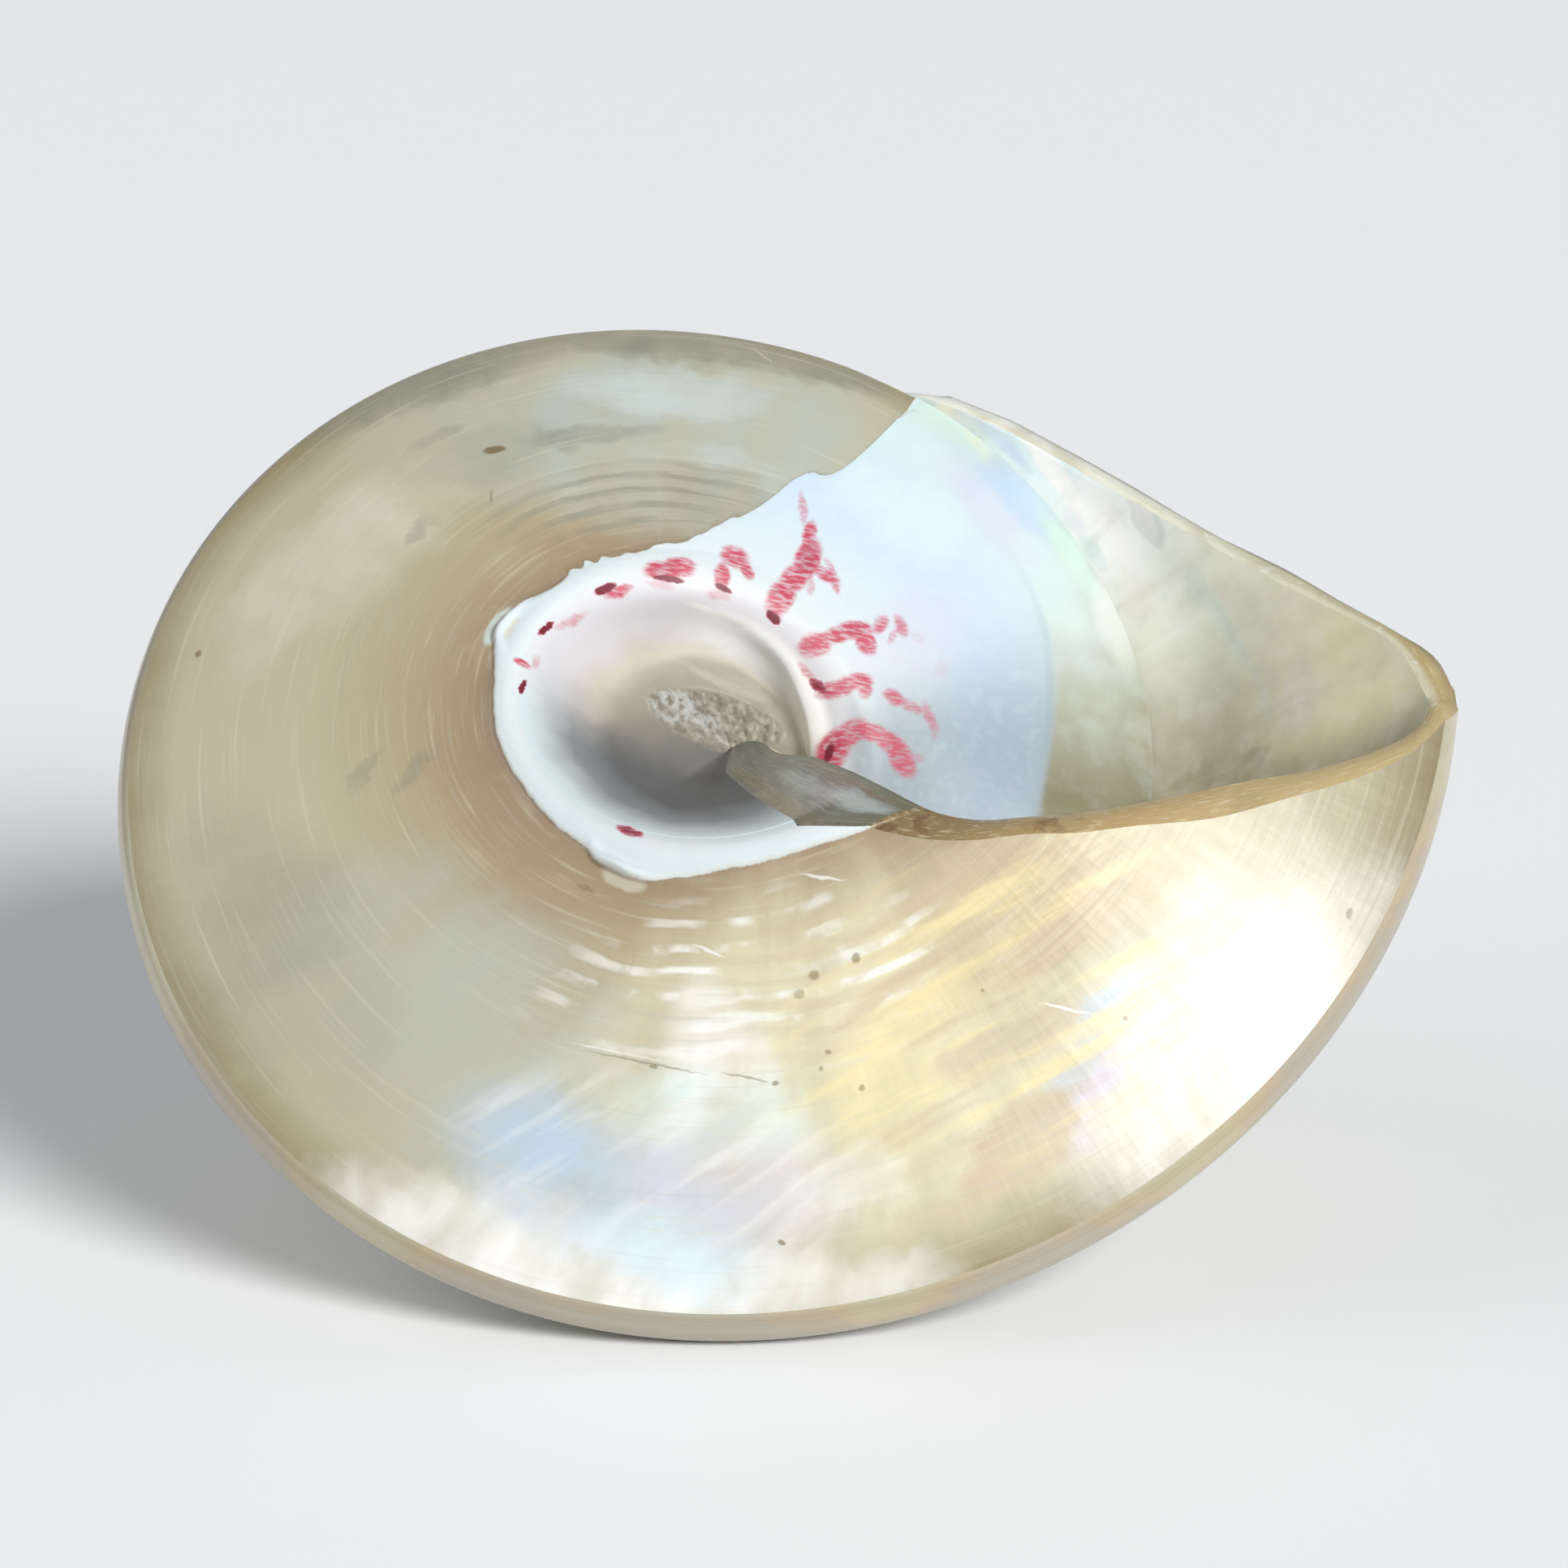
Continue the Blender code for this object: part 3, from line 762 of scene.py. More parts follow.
@dataclass(frozen=True)
class BaseFinish:
    """The base: mother-of-pearl outside, white callus round the funnel and in the mouth, and the crust."""

    gloss: Gloss = Gloss(roughness=0.36, spread=0.12, metallic=0.03, coat=0.14)
    callus_gloss: Gloss = Gloss(roughness=0.46, spread=0.1, metallic=0.0, coat=0.06)
    cord_pitch: float = 0.0372
    # Patches, lowest first. Sage, mist, pale, rose, butter and sand are the pearl's own tones. The cream,
    # white, frost, ice and lilac patches over the lower half are painted sheen where the pearl faces the lamps,
    # and the snow band along the lower rim is a painted highlight. The smoke patches on the top and left are
    # partly the pearl's own grey and partly painted dark reflection and shade.
    clouds_and_sheen: tuple[Daub, ...] = (
        Daub(-0.1, 0.68, 0.66, 0.36, 0.0, Tone.SAGE, 0.85, 0.9),
        Daub(-0.12, 0.79, 0.26, 0.085, 4.0, Tone.MIST, 0.85, 0.9),
        Daub(-0.05, 0.6, 0.2, 0.05, 10.0, Tone.MIST, 0.4, 0.9),
        Daub(-0.6, 0.36, 0.26, 0.14, 62.0, Tone.PALE, 0.55, 0.9),
        Daub(-0.78, 0.18, 0.22, 0.08, 78.0, Tone.PALE, 0.45, 0.9),
        Daub(-0.34, -0.6, 0.44, 0.26, -35.0, Tone.SAGE, 0.6, 0.9),
        Daub(0.03, 0.92, 0.44, 0.065, 0.0, Tone.SMOKE, 0.8, 0.9),
        Daub(-0.52, 0.8, 0.42, 0.085, 32.0, Tone.SMOKE, 0.85, 0.9),
        Daub(-0.44, 0.56, 0.2, 0.1, 35.0, Tone.SMOKE, 0.3, 0.9),
        Daub(-0.24, 0.64, 0.17, 0.035, 18.0, Tone.SMOKE, 0.45, 0.8),
        Daub(-0.53, 0.61, 0.07, 0.022, 40.0, Tone.SMOKE, 0.55, 0.8),
        Daub(-0.53, 0.33, 0.06, 0.018, 60.0, Tone.SMOKE, 0.35, 0.8),
        Daub(0.02, 0.5, 0.16, 0.1, -10.0, Tone.SMOKE, 0.3, 0.9),
        Daub(-0.31, -0.3, 0.26, 0.09, 128.0, Tone.ROSE, 0.45, 0.9),
        Daub(0.2, -0.62, 0.46, 0.34, 12.0, Tone.CREAM, 0.7, 0.95),
        Daub(0.72, -0.52, 0.4, 0.22, 48.0, Tone.WHITE, 0.85, 0.9),
        Daub(-0.2, -0.93, 0.5, 0.125, -12.0, Tone.SNOW, 0.85, 1.0),
        Daub(-0.66, -0.46, 0.36, 0.18, -55.0, Tone.SMOKE, 0.35, 0.95),
        Daub(0.16, -0.92, 0.24, 0.05, 8.0, Tone.WHITE, 0.7, 0.9),
        Daub(0.02, -0.62, 0.1, 0.13, 20.0, Tone.WHITE, 0.8, 0.9),
        Daub(0.27, -0.68, 0.1, 0.19, -10.0, Tone.BUTTER, 0.6, 0.9),
        Daub(0.36, -0.46, 0.2, 0.12, 35.0, Tone.BUTTER, 0.4, 0.9),
        Daub(0.02, -0.71, 0.18, 0.08, -5.0, Tone.FROST, 0.65, 1.0),
        Daub(-0.12, -0.82, 0.3, 0.13, -22.0, Tone.ICE, 0.68, 1.0),
        Daub(0.05, -0.81, 0.2, 0.11, -8.0, Tone.LILAC, 0.6, 1.0),
        Daub(-0.02, -0.9, 0.16, 0.08, -10.0, Tone.FROST, 0.5, 1.0),
        Daub(0.22, -0.8, 0.12, 0.05, 10.0, Tone.WHITE, 0.6, 0.9),
        Daub(0.57, -0.6, 0.19, 0.06, 62.0, Tone.LILAC, 0.85, 0.8),
        Daub(0.53, -0.62, 0.1, 0.03, 60.0, Tone.MIST, 0.7, 0.9),
        Daub(0.56, -0.5, 0.08, 0.03, 55.0, Tone.ICE, 0.6, 0.9),
        Daub(0.68, -0.4, 0.14, 0.03, 42.0, Tone.CREAM, 0.8, 0.9),
        Daub(0.42, -0.34, 0.26, 0.07, 32.0, Tone.SAND, 0.55, 0.9),
        Daub(0.46, -0.72, 0.12, 0.06, 42.0, Tone.SAND, 0.85, 0.35),
        Daub(0.43, -0.58, 0.13, 0.05, 35.0, Tone.SAND, 0.55, 0.7),
        Daub(0.53, -0.38, 0.22, 0.055, 38.0, Tone.SAND, 0.8, 0.7),
        Daub(0.4, -0.8, 0.2, 0.03, 24.0, Tone.SAND, 0.45, 0.8),
        Daub(-0.47, -0.19, 0.07, 0.02, 62.0, Tone.SMOKE, 0.45, 0.7),
        Daub(-0.55, -0.17, 0.06, 0.018, 66.0, Tone.SMOKE, 0.35, 0.7),
    )
    specks: tuple[Daub, ...] = (
        Daub(-0.37, 0.12, 0.055, 0.02, 72.0, Tone.FROST, 0.6, 0.35),
        Daub(-0.366, 0.12, 0.042, 0.01, 72.0, Tone.PALE, 0.6, 0.5),
        Daub(-0.118, -0.381, 0.042, 0.018, -22.0, Tone.PALE, 0.55, 0.35),
        Daub(-0.424, 0.568, 0.026, 0.013, 20.0, Tone.SPECK, 0.85, 0.4),
        Daub(-0.885, 0.1, 0.01, 0.007, 70.0, Tone.SPECK, 0.7, 0.5),
        Daub(-0.418, 0.44, 0.003, 0.024, 5.0, Tone.SPECK, 0.5, 0.6),
        Daub(0.158, -0.515, 0.009, 0.008, 0.0, Tone.SPECK, 0.55, 0.5),
        Daub(0.214, -0.489, 0.008, 0.01, 0.0, Tone.SPECK, 0.6, 0.5),
        Daub(0.14, -0.543, 0.01, 0.008, 30.0, Tone.SPECK, 0.45, 0.5),
        Daub(0.112, -0.667, 0.006, 0.004, 0.0, Tone.SPECK, 0.6, 0.5),
        Daub(-0.06, -0.652, 0.008, 0.004, 0.0, Tone.SPECK, 0.6, 0.5),
        Daub(0.131, -0.878, 0.007, 0.004, -20.0, Tone.SPECK, 0.7, 0.5),
        Daub(0.182, -0.62, 0.005, 0.004, 0.0, Tone.SPECK, 0.55, 0.5),
        Daub(0.174, -0.643, 0.004, 0.004, 0.0, Tone.SPECK, 0.5, 0.5),
        Daub(0.23, -0.666, 0.006, 0.006, 0.0, Tone.SPECK, 0.55, 0.5),
        Daub(0.868, -0.345, 0.005, 0.01, 0.0, Tone.SPECK, 0.65, 0.5),
        Daub(0.58, -0.536, 0.004, 0.004, 0.0, Tone.SPECK, 0.6, 0.5),
        Daub(0.386, -0.52, 0.003, 0.003, 0.0, Tone.SPECK, 0.5, 0.5),
        Daub(-0.175, -0.394, 0.02, 0.006, -25.0, Tone.SPECK, 0.45, 0.6),
        Daub(-0.072, -0.646, 0.105, 0.0024, -9.0, Tone.SMOKE, 0.6, 0.6),
        Daub(-0.11, -0.633, 0.09, 0.0018, -9.0, Tone.WHITE, 0.55, 0.6),
        Daub(0.07, -0.661, 0.042, 0.0022, -9.0, Tone.SPECK, 0.5, 0.6),
        Daub(0.012, -0.487, 0.03, 0.0026, -20.0, Tone.WHITE, 0.8, 0.6),
        Daub(0.165, -0.377, 0.036, 0.003, -6.0, Tone.WHITE, 0.7, 0.6),
        Daub(0.5, -0.533, 0.04, 0.0024, -7.0, Tone.WHITE, 0.7, 0.6),
        Daub(0.075, 0.935, 0.03, 0.0022, -40.0, Tone.PALE, 0.6, 0.6),
    )
    callus_clouds: tuple[Daub, ...] = (
        Daub(0.42, 0.3, 0.22, 0.12, 50.0, Tone.LILAC, 0.35, 0.9),
        Daub(0.55, 0.62, 0.2, 0.07, -50.0, Tone.LILAC, 0.45, 0.95),
        Daub(0.62, 0.66, 0.15, 0.06, 130.0, Tone.ICE, 0.7, 0.95),
        Daub(0.73, 0.55, 0.15, 0.035, 125.0, Tone.MINT, 0.85, 0.9),
        Daub(0.46, 0.83, 0.12, 0.05, 150.0, Tone.MINT, 0.6, 0.9),
        Daub(0.52, 0.8, 0.08, 0.02, 120.0, Tone.BUTTER, 0.25, 0.9),
        Daub(0.4, 0.56, 0.14, 0.12, 0.0, Tone.FROST, 0.45, 0.95),
        Daub(0.28, 0.62, 0.12, 0.08, 40.0, Tone.FROST, 0.3, 0.95),
        Daub(0.84, 0.4, 0.14, 0.05, 115.0, Tone.SNOW, 0.35, 0.9),
        Daub(0.92, 0.16, 0.1, 0.03, 95.0, Tone.TAN, 0.35, 0.9),
        Daub(-0.362, 0.118, 0.055, 0.026, 72.0, Tone.PALE, 0.75, 0.5),
        Daub(-0.128, -0.372, 0.036, 0.02, -20.0, Tone.PALE, 0.65, 0.5),
    )
    strokes: tuple[Stroke, ...] = (
        Stroke(-0.313, -0.014, 0.018, 0.007, 80.0, 1.0, 1.0),
        Stroke(-0.321, 0.035, 0.012, 0.0055, -10.0, 0.75, 0.2),
        Stroke(-0.3, 0.05, 0.012, 0.004, 80.0, 0.35),
        Stroke(-0.292, 0.122, 0.024, 0.0065, 60.0, 0.95, 0.9),
        Stroke(-0.252, 0.156, 0.036, 0.0034, 45.0, 0.4),
        Stroke(-0.2, 0.235, 0.024, 0.0105, 40.0, 1.0, 0.95),
        Stroke(-0.176, 0.238, 0.03, 0.0065, 38.0, 0.75, 0.2),
        Stroke(-0.1, 0.303, 0.036, 0.019, 20.0, 0.9, 0.35),
        Stroke(-0.074, 0.318, 0.034, 0.019, 24.0, 0.85, 0.25),
        Stroke(-0.09, 0.289, 0.034, 0.0085, 10.0, 1.0, 1.0),
        Stroke(-0.104, 0.275, 0.024, 0.007, 10.0, 0.35),
        Stroke(0.034, 0.372, 0.028, 0.023, -10.0, 0.75, 0.15),
        Stroke(0.056, 0.352, 0.024, 0.011, -65.0, 0.75, 0.15),
        Stroke(0.01, 0.322, 0.03, 0.013, 88.0, 0.8, 0.25),
        Stroke(0.013, 0.299, 0.02, 0.0085, -12.0, 0.95, 0.9),
        Stroke(0.006, 0.284, 0.024, 0.006, 5.0, 0.35),
        Stroke(0.115, 0.265, 0.018, 0.012, -30.0, 0.95, 0.9),
        Stroke(0.128, 0.308, 0.046, 0.023, 65.0, 0.85, 0.25),
        Stroke(0.152, 0.355, 0.036, 0.022, 52.0, 0.9, 0.25),
        Stroke(0.178, 0.405, 0.056, 0.024, 75.0, 0.95, 0.35),
        Stroke(0.18, 0.462, 0.036, 0.012, 80.0, 0.85, 0.25),
        Stroke(0.165, 0.525, 0.042, 0.0065, 97.0, 0.45),
        Stroke(0.216, 0.381, 0.034, 0.012, -22.0, 0.7, 0.1),
        Stroke(0.238, 0.362, 0.016, 0.0048, -62.0, 0.55),
        Stroke(0.228, 0.398, 0.022, 0.0048, -55.0, 0.45),
        Stroke(0.188, 0.35, 0.018, 0.006, 90.0, 0.4),
        Stroke(0.204, 0.228, 0.036, 0.019, 22.0, 0.8, 0.1),
        Stroke(0.25, 0.258, 0.04, 0.015, 32.0, 0.8, 0.2),
        Stroke(0.287, 0.275, 0.038, 0.018, 12.0, 0.9, 0.3),
        Stroke(0.308, 0.258, 0.032, 0.019, -62.0, 0.85, 0.2),
        Stroke(0.338, 0.297, 0.02, 0.012, 60.0, 0.6, 0.1),
        Stroke(0.366, 0.277, 0.018, 0.005, 70.0, 0.4),
        Stroke(0.382, 0.302, 0.022, 0.011, -62.0, 0.55),
        Stroke(0.418, 0.284, 0.014, 0.01, -40.0, 0.2),
        Stroke(0.192, 0.173, 0.026, 0.006, -40.0, 0.45),
        Stroke(0.218, 0.15, 0.024, 0.01, -28.0, 0.95, 0.6),
        Stroke(0.252, 0.146, 0.04, 0.014, 12.0, 0.75, 0.1),
        Stroke(0.298, 0.168, 0.036, 0.015, 18.0, 0.8, 0.2),
        Stroke(0.316, 0.156, 0.012, 0.018, 0.0, 0.65, 0.1),
        Stroke(0.379, 0.147, 0.022, 0.013, -20.0, 0.65, 0.1),
        Stroke(0.417, 0.133, 0.034, 0.009, -20.0, 0.5),
        Stroke(0.458, 0.118, 0.034, 0.0095, -62.0, 0.45),
        Stroke(0.475, 0.09, 0.018, 0.006, 80.0, 0.3),
        Stroke(0.475, 0.225, 0.012, 0.016, 0.0, 0.18),
        Stroke(0.26, 0.026, 0.046, 0.032, 72.0, 0.85, 0.3),
        Stroke(0.253, 0.022, 0.026, 0.012, 72.0, 0.95, 0.75),
        Stroke(0.292, 0.06, 0.042, 0.021, 38.0, 0.8, 0.15),
        Stroke(0.338, 0.068, 0.044, 0.015, -6.0, 0.8, 0.1),
        Stroke(0.384, 0.05, 0.048, 0.018, -28.0, 0.8, 0.15),
        Stroke(0.408, 0.02, 0.044, 0.022, -55.0, 0.75, 0.1),
        Stroke(0.434, 0.026, 0.02, 0.01, 0.0, 0.35),
        Stroke(-0.114, -0.306, 0.022, 0.0085, -25.0, 0.95, 0.55),
    )

    def field_colour(self, graph: Graph, place: Link, radius: Link, noises: Sequence[Link]) -> Link:
        """Mother-of-pearl: a ground by radius, patches of tone and painted sheen, cords with painted glints,
        feathering, painted shade and specks.

        Args:
            graph: The material's node tree.
            place: The place on the base, in keel radii.
            radius: Radii in keel radii.
            noises: Wide, fine and drawn-out noise.

        Returns:
            The field's colour.
        """
        cloud, fine, along = noises
        colour = graph.ramp(
            radius + (cloud - 0.5) * 0.1, (0.36, tint(150, 130, 105)), (0.48, tint(170, 156, 128)),
            (0.7, tint(184, 179, 152)), (0.9, tint(180, 174, 148)), (0.99, tint(140, 128, 98)))
        swept = graph.ragged(graph.ragged(place, 4.0, 0.14), 26.0, 0.05)
        streaks = self.growth_streaks(graph, radius)
        colour = graph.paint(colour, swept, self.clouds_and_sheen, streaks)
        drift = cloud * 2.2 + along * 0.5
        cords = (radius * (1.0 / self.cord_pitch) + drift).wave()
        high = graph.within(place, Daub(-0.17, 0.47, 0.34, 0.12, 22.0, Tone.SMOKE, 1.0, 0.9))
        low = graph.within(place, Daub(0.1, -0.52, 0.42, 0.15, 8.0, Tone.WHITE, 1.0, 0.9))
        colour = graph.lay(colour, (cords.rise(0.35, 0.95) * high * (fine * 0.9), Tone.SMOKE))
        # Painted glints: white highlights along the cords on the lower half, with sand between them.
        glint = graph.noise(graph.ragged(place, 20.0, 0.03), 13.0, 4.0).rise(0.44, 0.64)
        colour = graph.lay(colour, (cords.rise(0.45, 1.0) * low * glint, Tone.WHITE),
                                   (cords.rise(0.5, 0.05) * low * 0.35, Tone.SAND))
        swirl = graph.ragged(place, 3.0, 0.05)
        combed = {"Vector": swirl, "Scale": (0.32, 0.04, 1.0), "Rotation": (0.0, 0.0, math.radians(34.0))}
        feather = graph.noise(graph.node("ShaderNodeMapping", {"vector_type": "TEXTURE"}, combed), 1.0, 4.0)
        fan = graph.within(place, Daub(0.42, -0.52, 0.42, 0.27, 36.0, Tone.CREAM, 1.0, 0.8))
        colour = graph.lay(colour, (feather.rise(0.48, 0.68, 0.85) * fan, Tone.BUTTER),
                                   (feather.rise(0.5, 0.32, 0.7) * fan, Tone.SAND))
        # Over the cool patch at the bottom, white and mist feathering breaks up the painted sheen there; the
        # pale, sage and khaki coats after it are the pearl's own.
        cool = graph.within(place, Daub(-0.06, -0.78, 0.4, 0.15, -8.0, Tone.ICE, 1.0, 0.8))
        colour = graph.lay(colour, (feather.rise(0.46, 0.66, 0.5) * cool, Tone.WHITE),
                                   (feather.rise(0.5, 0.32, 0.4) * cool, Tone.MIST),
                                   (along.rise(0.55, 0.75, 0.35), Tone.PALE),
                                   (along.rise(0.45, 0.25, 0.25), Tone.SAGE),
                                   (fine.rise(0.45, 0.25) * 0.22, Tone.KHAKI))
        # Painted shade: the field is darkened on the lower right, where the key lamp falls most strongly.
        lamp_side_painted_shade = graph.within(place, Daub(0.76, -0.32, 0.6, 0.4, 42.0, Tone.WHITE, 1.0, 0.9))
        colour = graph.blend(lamp_side_painted_shade, colour, tint(228, 226, 220), "MULTIPLY")
        return graph.paint(colour, graph.ragged(place, 60.0, 0.008), self.specks)

    def growth_streaks(self, graph: Graph, radius: Link) -> Link:
        """Streaks along the growth lines, round 1.

        Args:
            graph: The material's node tree.
            radius: Radii in keel radii.

        Returns:
            A factor round 1.
        """
        turns, _, _ = graph.layer("growth")
        wide = graph.noise(graph.vector(turns * 34.0 + radius * 2.0, radius * 3.0), 1.0, 4.0)
        return wide.rise(0.3, 0.64, 0.75) + 0.45

    def marked(self, graph: Graph, colour: Link, place: Link) -> Link:
        """Lays the red strokes over a colour.

        Args:
            graph: The material's node tree.
            colour: The colour below.
            place: The place on the base, in keel radii.

        Returns:
            The colour with the strokes on it.
        """
        hatched = {"Vector": place, "Scale": (40.0, 160.0, 1.0), "Rotation": (0.0, 0.0, math.radians(-35.0))}
        hatch = graph.noise(graph.node("ShaderNodeMapping", {}, hatched), 1.0, 2.0)
        edged = graph.ragged(graph.ragged(place, 38.0, 0.01), 150.0, 0.006)
        cover, deep = 0.0, 0.0
        for stroke in self.strokes:
            faint = 1.0 - stroke.deep
            long, wide = stroke.long * 1.2 + 0.008 * faint, stroke.wide * (1.0 + 0.5 * faint) + 0.004 * faint
            inside = graph.within(edged, Daub(stroke.x, stroke.y, long, wide, stroke.turn, Tone.ROSE,
                                              stroke.strength, 1.0))
            cover = inside.most(cover)
            if stroke.deep > 0.0:
                deep = (inside * stroke.deep).most(deep)
        ink = cover.rise(0.02, 0.75) * (hatch.rise(0.32, 0.6, 0.52) + 0.46)
        colour = graph.blend(ink, colour, tint(192, 70, 94))
        return graph.blend(deep.rise(0.15, 0.75, 0.95), colour, tint(108, 22, 42))

    def funnel_colour(self, graph: Graph, place: Link, radius: Link, crust: Link, grain: Link) -> Link:
        """The funnel's wall, with painted shade on its lower side and painted light along its upper rim, and
        the grainy crust on its floor.

        Args:
            graph: The material's node tree.
            place: The place on the base, in keel radii.
            radius: Radii in keel radii.
            crust: How thick the crust lies, from 0 to 1.
            grain: The crust's fine noise.

        Returns:
            The funnel's colour.
        """
        wavy = graph.ragged(place, 9.0, 0.03)
        x, y, _ = graph.layer("disc")
        drift = (graph.noise(place, 12.0, 3.0) - 0.5) * 0.05
        # Painted shade: the lower wall is dark grey where it lies in shade; the upper wall carries the funnel's
        # beige and pinkish whites.
        low = graph.ramp((radius + drift) * 3.0, (0.0, tint(105, 105, 105)), (0.5, tint(90, 92, 95)),
                         (0.7, tint(130, 135, 140)), (0.92, tint(205, 218, 220)))
        high = graph.ramp((radius + drift) * 3.0, (0.0, tint(130, 125, 112)), (0.48, tint(158, 152, 136)),
                          (0.62, tint(198, 190, 175)), (0.75, tint(208, 204, 208)),
                          (0.95, tint(214, 215, 220)))
        wall = graph.blend((y + drift).rise(-0.08, 0.1), low, high)
        # Painted light: a snow-white band along the upper rim, which lies in shade.
        painted_rim_light = (radius - 0.236).size().rise(0.038, 0.01) * x.rise(-0.12, 0.05) * y.rise(0.0, 0.08)
        wall = graph.lay(wall, (painted_rim_light, Tone.SNOW))
        # The first daub is a painted highlight, a white crescent on the upper rim; the two pale ones are faint
        # rings.
        wall = graph.paint(wall, wavy, (
            Daub(0.01, 0.252, 0.085, 0.006, -3.0, Tone.WHITE, 1.0, 0.8),
            Daub(-0.05, 0.205, 0.1, 0.01, 12.0, Tone.PALE, 0.3, 0.9),
            Daub(0.02, 0.165, 0.12, 0.012, -8.0, Tone.PALE, 0.3, 0.9),
        ))
        deposit = graph.ramp(grain, (0.3, tint(126, 118, 106)), (0.5, tint(146, 139, 127)),
                             (0.7, tint(180, 175, 164)))
        pale = graph.within(wavy, Daub(-0.085, 0.072, 0.09, 0.05, 0.0, Tone.WHITE, 0.7, 0.9))
        deposit = graph.blend(pale * grain.rise(0.35, 0.6), deposit, tint(190, 195, 194))
        return graph.blend(crust.rise(0.1, 0.9, 0.9), wall, deposit)

    def plain_callus(self, graph: Graph, radius: Link, cloud: Link) -> Link:
        """White callus without its marks: pinkish by the funnel, bluish in the mouth.

        Args:
            graph: The material's node tree.
            radius: Radii in keel radii.
            cloud: Wide noise round 0.5.

        Returns:
            The callus's colour.
        """
        return graph.ramp(
            radius + (cloud - 0.5) * 0.08, (0.22, tint(218, 208, 210)), (0.34, tint(212, 222, 224)),
            (0.6, tint(198, 215, 230)), (0.95, tint(206, 224, 224)))

    def pearl_material(self) -> bpy.types.Material:
        """Makes the outer field's material, up to just inside the callus's edge.

        Returns:
            The material.
        """
        graph = Graph("base_nacre")
        turns, radius, _ = graph.layer("growth")
        x, y, _ = graph.layer("disc")
        plan = graph.kept("plan")
        cover, _, _ = graph.layer("cover")
        place = graph.vector(x, y)
        cloud = graph.noise(place, 3.2, 4.0)
        fine = graph.noise(plan, 320.0, 4.0)
        along = graph.noise(graph.vector(turns * 14.0, radius * 95.0), 1.0, 3.0)
        crumbly = y.rise(-0.1, 0.3, 0.22) + 0.06
        crumbs, grit = graph.noise(place, 60.0, 3.0) - 0.5, graph.noise(place, 230.0, 2.0) - 0.5
        edge = cover + crumbs * crumbly + grit * 0.06
        pearl = self.field_colour(graph, place, radius, (cloud, fine, along))
        pearl = graph.lay(pearl, (edge.rise(0.28, 0.46, 0.3), Tone.ROSE))
        callus = self.plain_callus(graph, radius, cloud)
        callus = graph.lay(callus, (edge.hump(0.53, 0.14) * 0.45, Tone.PALE))
        glazed = edge.rise(0.46, 0.52)
        growth = graph.noise(graph.vector(turns * 260.0, radius * 6.0), 1.0, 2.0)
        height = along * 0.35 + growth * 0.25 + fine * 0.4
        return graph.dress(graph.blend(glazed, pearl, callus), height, 0.0001, self.gloss,
                           fine * 0.5 + growth * 0.5, Metallic=(1.0 - glazed) * self.gloss.metallic,
                           Specular_IOR_Level=0.35)

    def callus_material(self) -> bpy.types.Material:
        """Makes the material of the callus, the mouth's white part, the funnel and its crust.

        Returns:
            The material.
        """
        graph = Graph("callus_and_funnel")
        turns, radius, _ = graph.layer("growth")
        x, y, _ = graph.layer("disc")
        plan = graph.kept("plan")
        _, crust, down = graph.layer("cover")
        place = graph.vector(x, y)
        cloud = graph.noise(place, 3.2, 4.0)
        fine = graph.noise(plan, 320.0, 4.0)
        grain = graph.noise(plan, 1500.0, 3.0)
        colour = self.plain_callus(graph, radius, cloud)
        # Painted shade: the callus darkens towards the lip's end, deep in the mouth, where the lip shades it.
        colour = graph.blend(turns.rise(-0.9, -0.985, 0.9), colour, tint(188, 193, 198), "MULTIPLY")
        drift = (cloud - 0.5) * 0.035
        rim = graph.ramp(
            (turns + drift + 1.02) * 5.0, (0.08, tint(125, 120, 90)), (0.3, tint(172, 175, 158)),
            (0.5, tint(203, 216, 212)), (0.65, tint(206, 223, 224)), (0.8, tint(196, 213, 226)),
            (0.98, tint(206, 222, 224)))
        rim = graph.blend(radius.rise(0.84, 0.97, 0.45), rim, tint(206, 204, 182), "MULTIPLY")
        crease = radius + drift * 0.6 - turns.rise(-1.01, -0.87) * 0.11 - 0.7
        colour = graph.blend(crease.rise(0.0, 0.022) * turns.rise(-0.8, -0.86), colour, rim)
        # Painted shade: a dark line along the crease between the callus and the outer band.
        crease_shade = crease.size().rise(0.016, 0.0, 0.14) * turns.rise(-0.87, -0.93)
        colour = graph.lay(colour, (crease_shade, Tone.SMOKE))
        torn = graph.ragged(graph.ragged(place, 4.0, 0.08), 22.0, 0.03)
        colour = graph.paint(colour, torn, self.callus_clouds)
        mottle = graph.noise(place, 26.0, 4.0)
        inside = crease.rise(0.01, -0.03)
        colour = graph.lay(colour, (mottle.rise(0.48, 0.72, 0.14) * inside, Tone.FROST),
                                   (mottle.rise(0.5, 0.28, 0.12) * inside, Tone.LILAC),
                                   (fine.rise(0.4, 0.7, 0.2) * crease.rise(0.0, 0.02), Tone.FROST))
        funnel = self.funnel_colour(graph, place, radius, crust, grain)
        colour = graph.blend(down.rise(0.02, 0.12), colour, funnel)
        colour = self.marked(graph, colour, place)
        rough = crust.rise(0.1, 0.6)
        sockets = self.callus_gloss.sockets(fine)
        sockets["Roughness"] = sockets["Roughness"] + rough * 0.4
        sockets["Coat_Weight"] = (1.0 - rough) * self.callus_gloss.coat
        sockets["Specular_IOR_Level"] = 0.25
        relief = graph.relief(fine + crust * grain * 3.0, 0.00008)
        return graph.finish(Base_Color=colour, Normal=relief, **sockets)


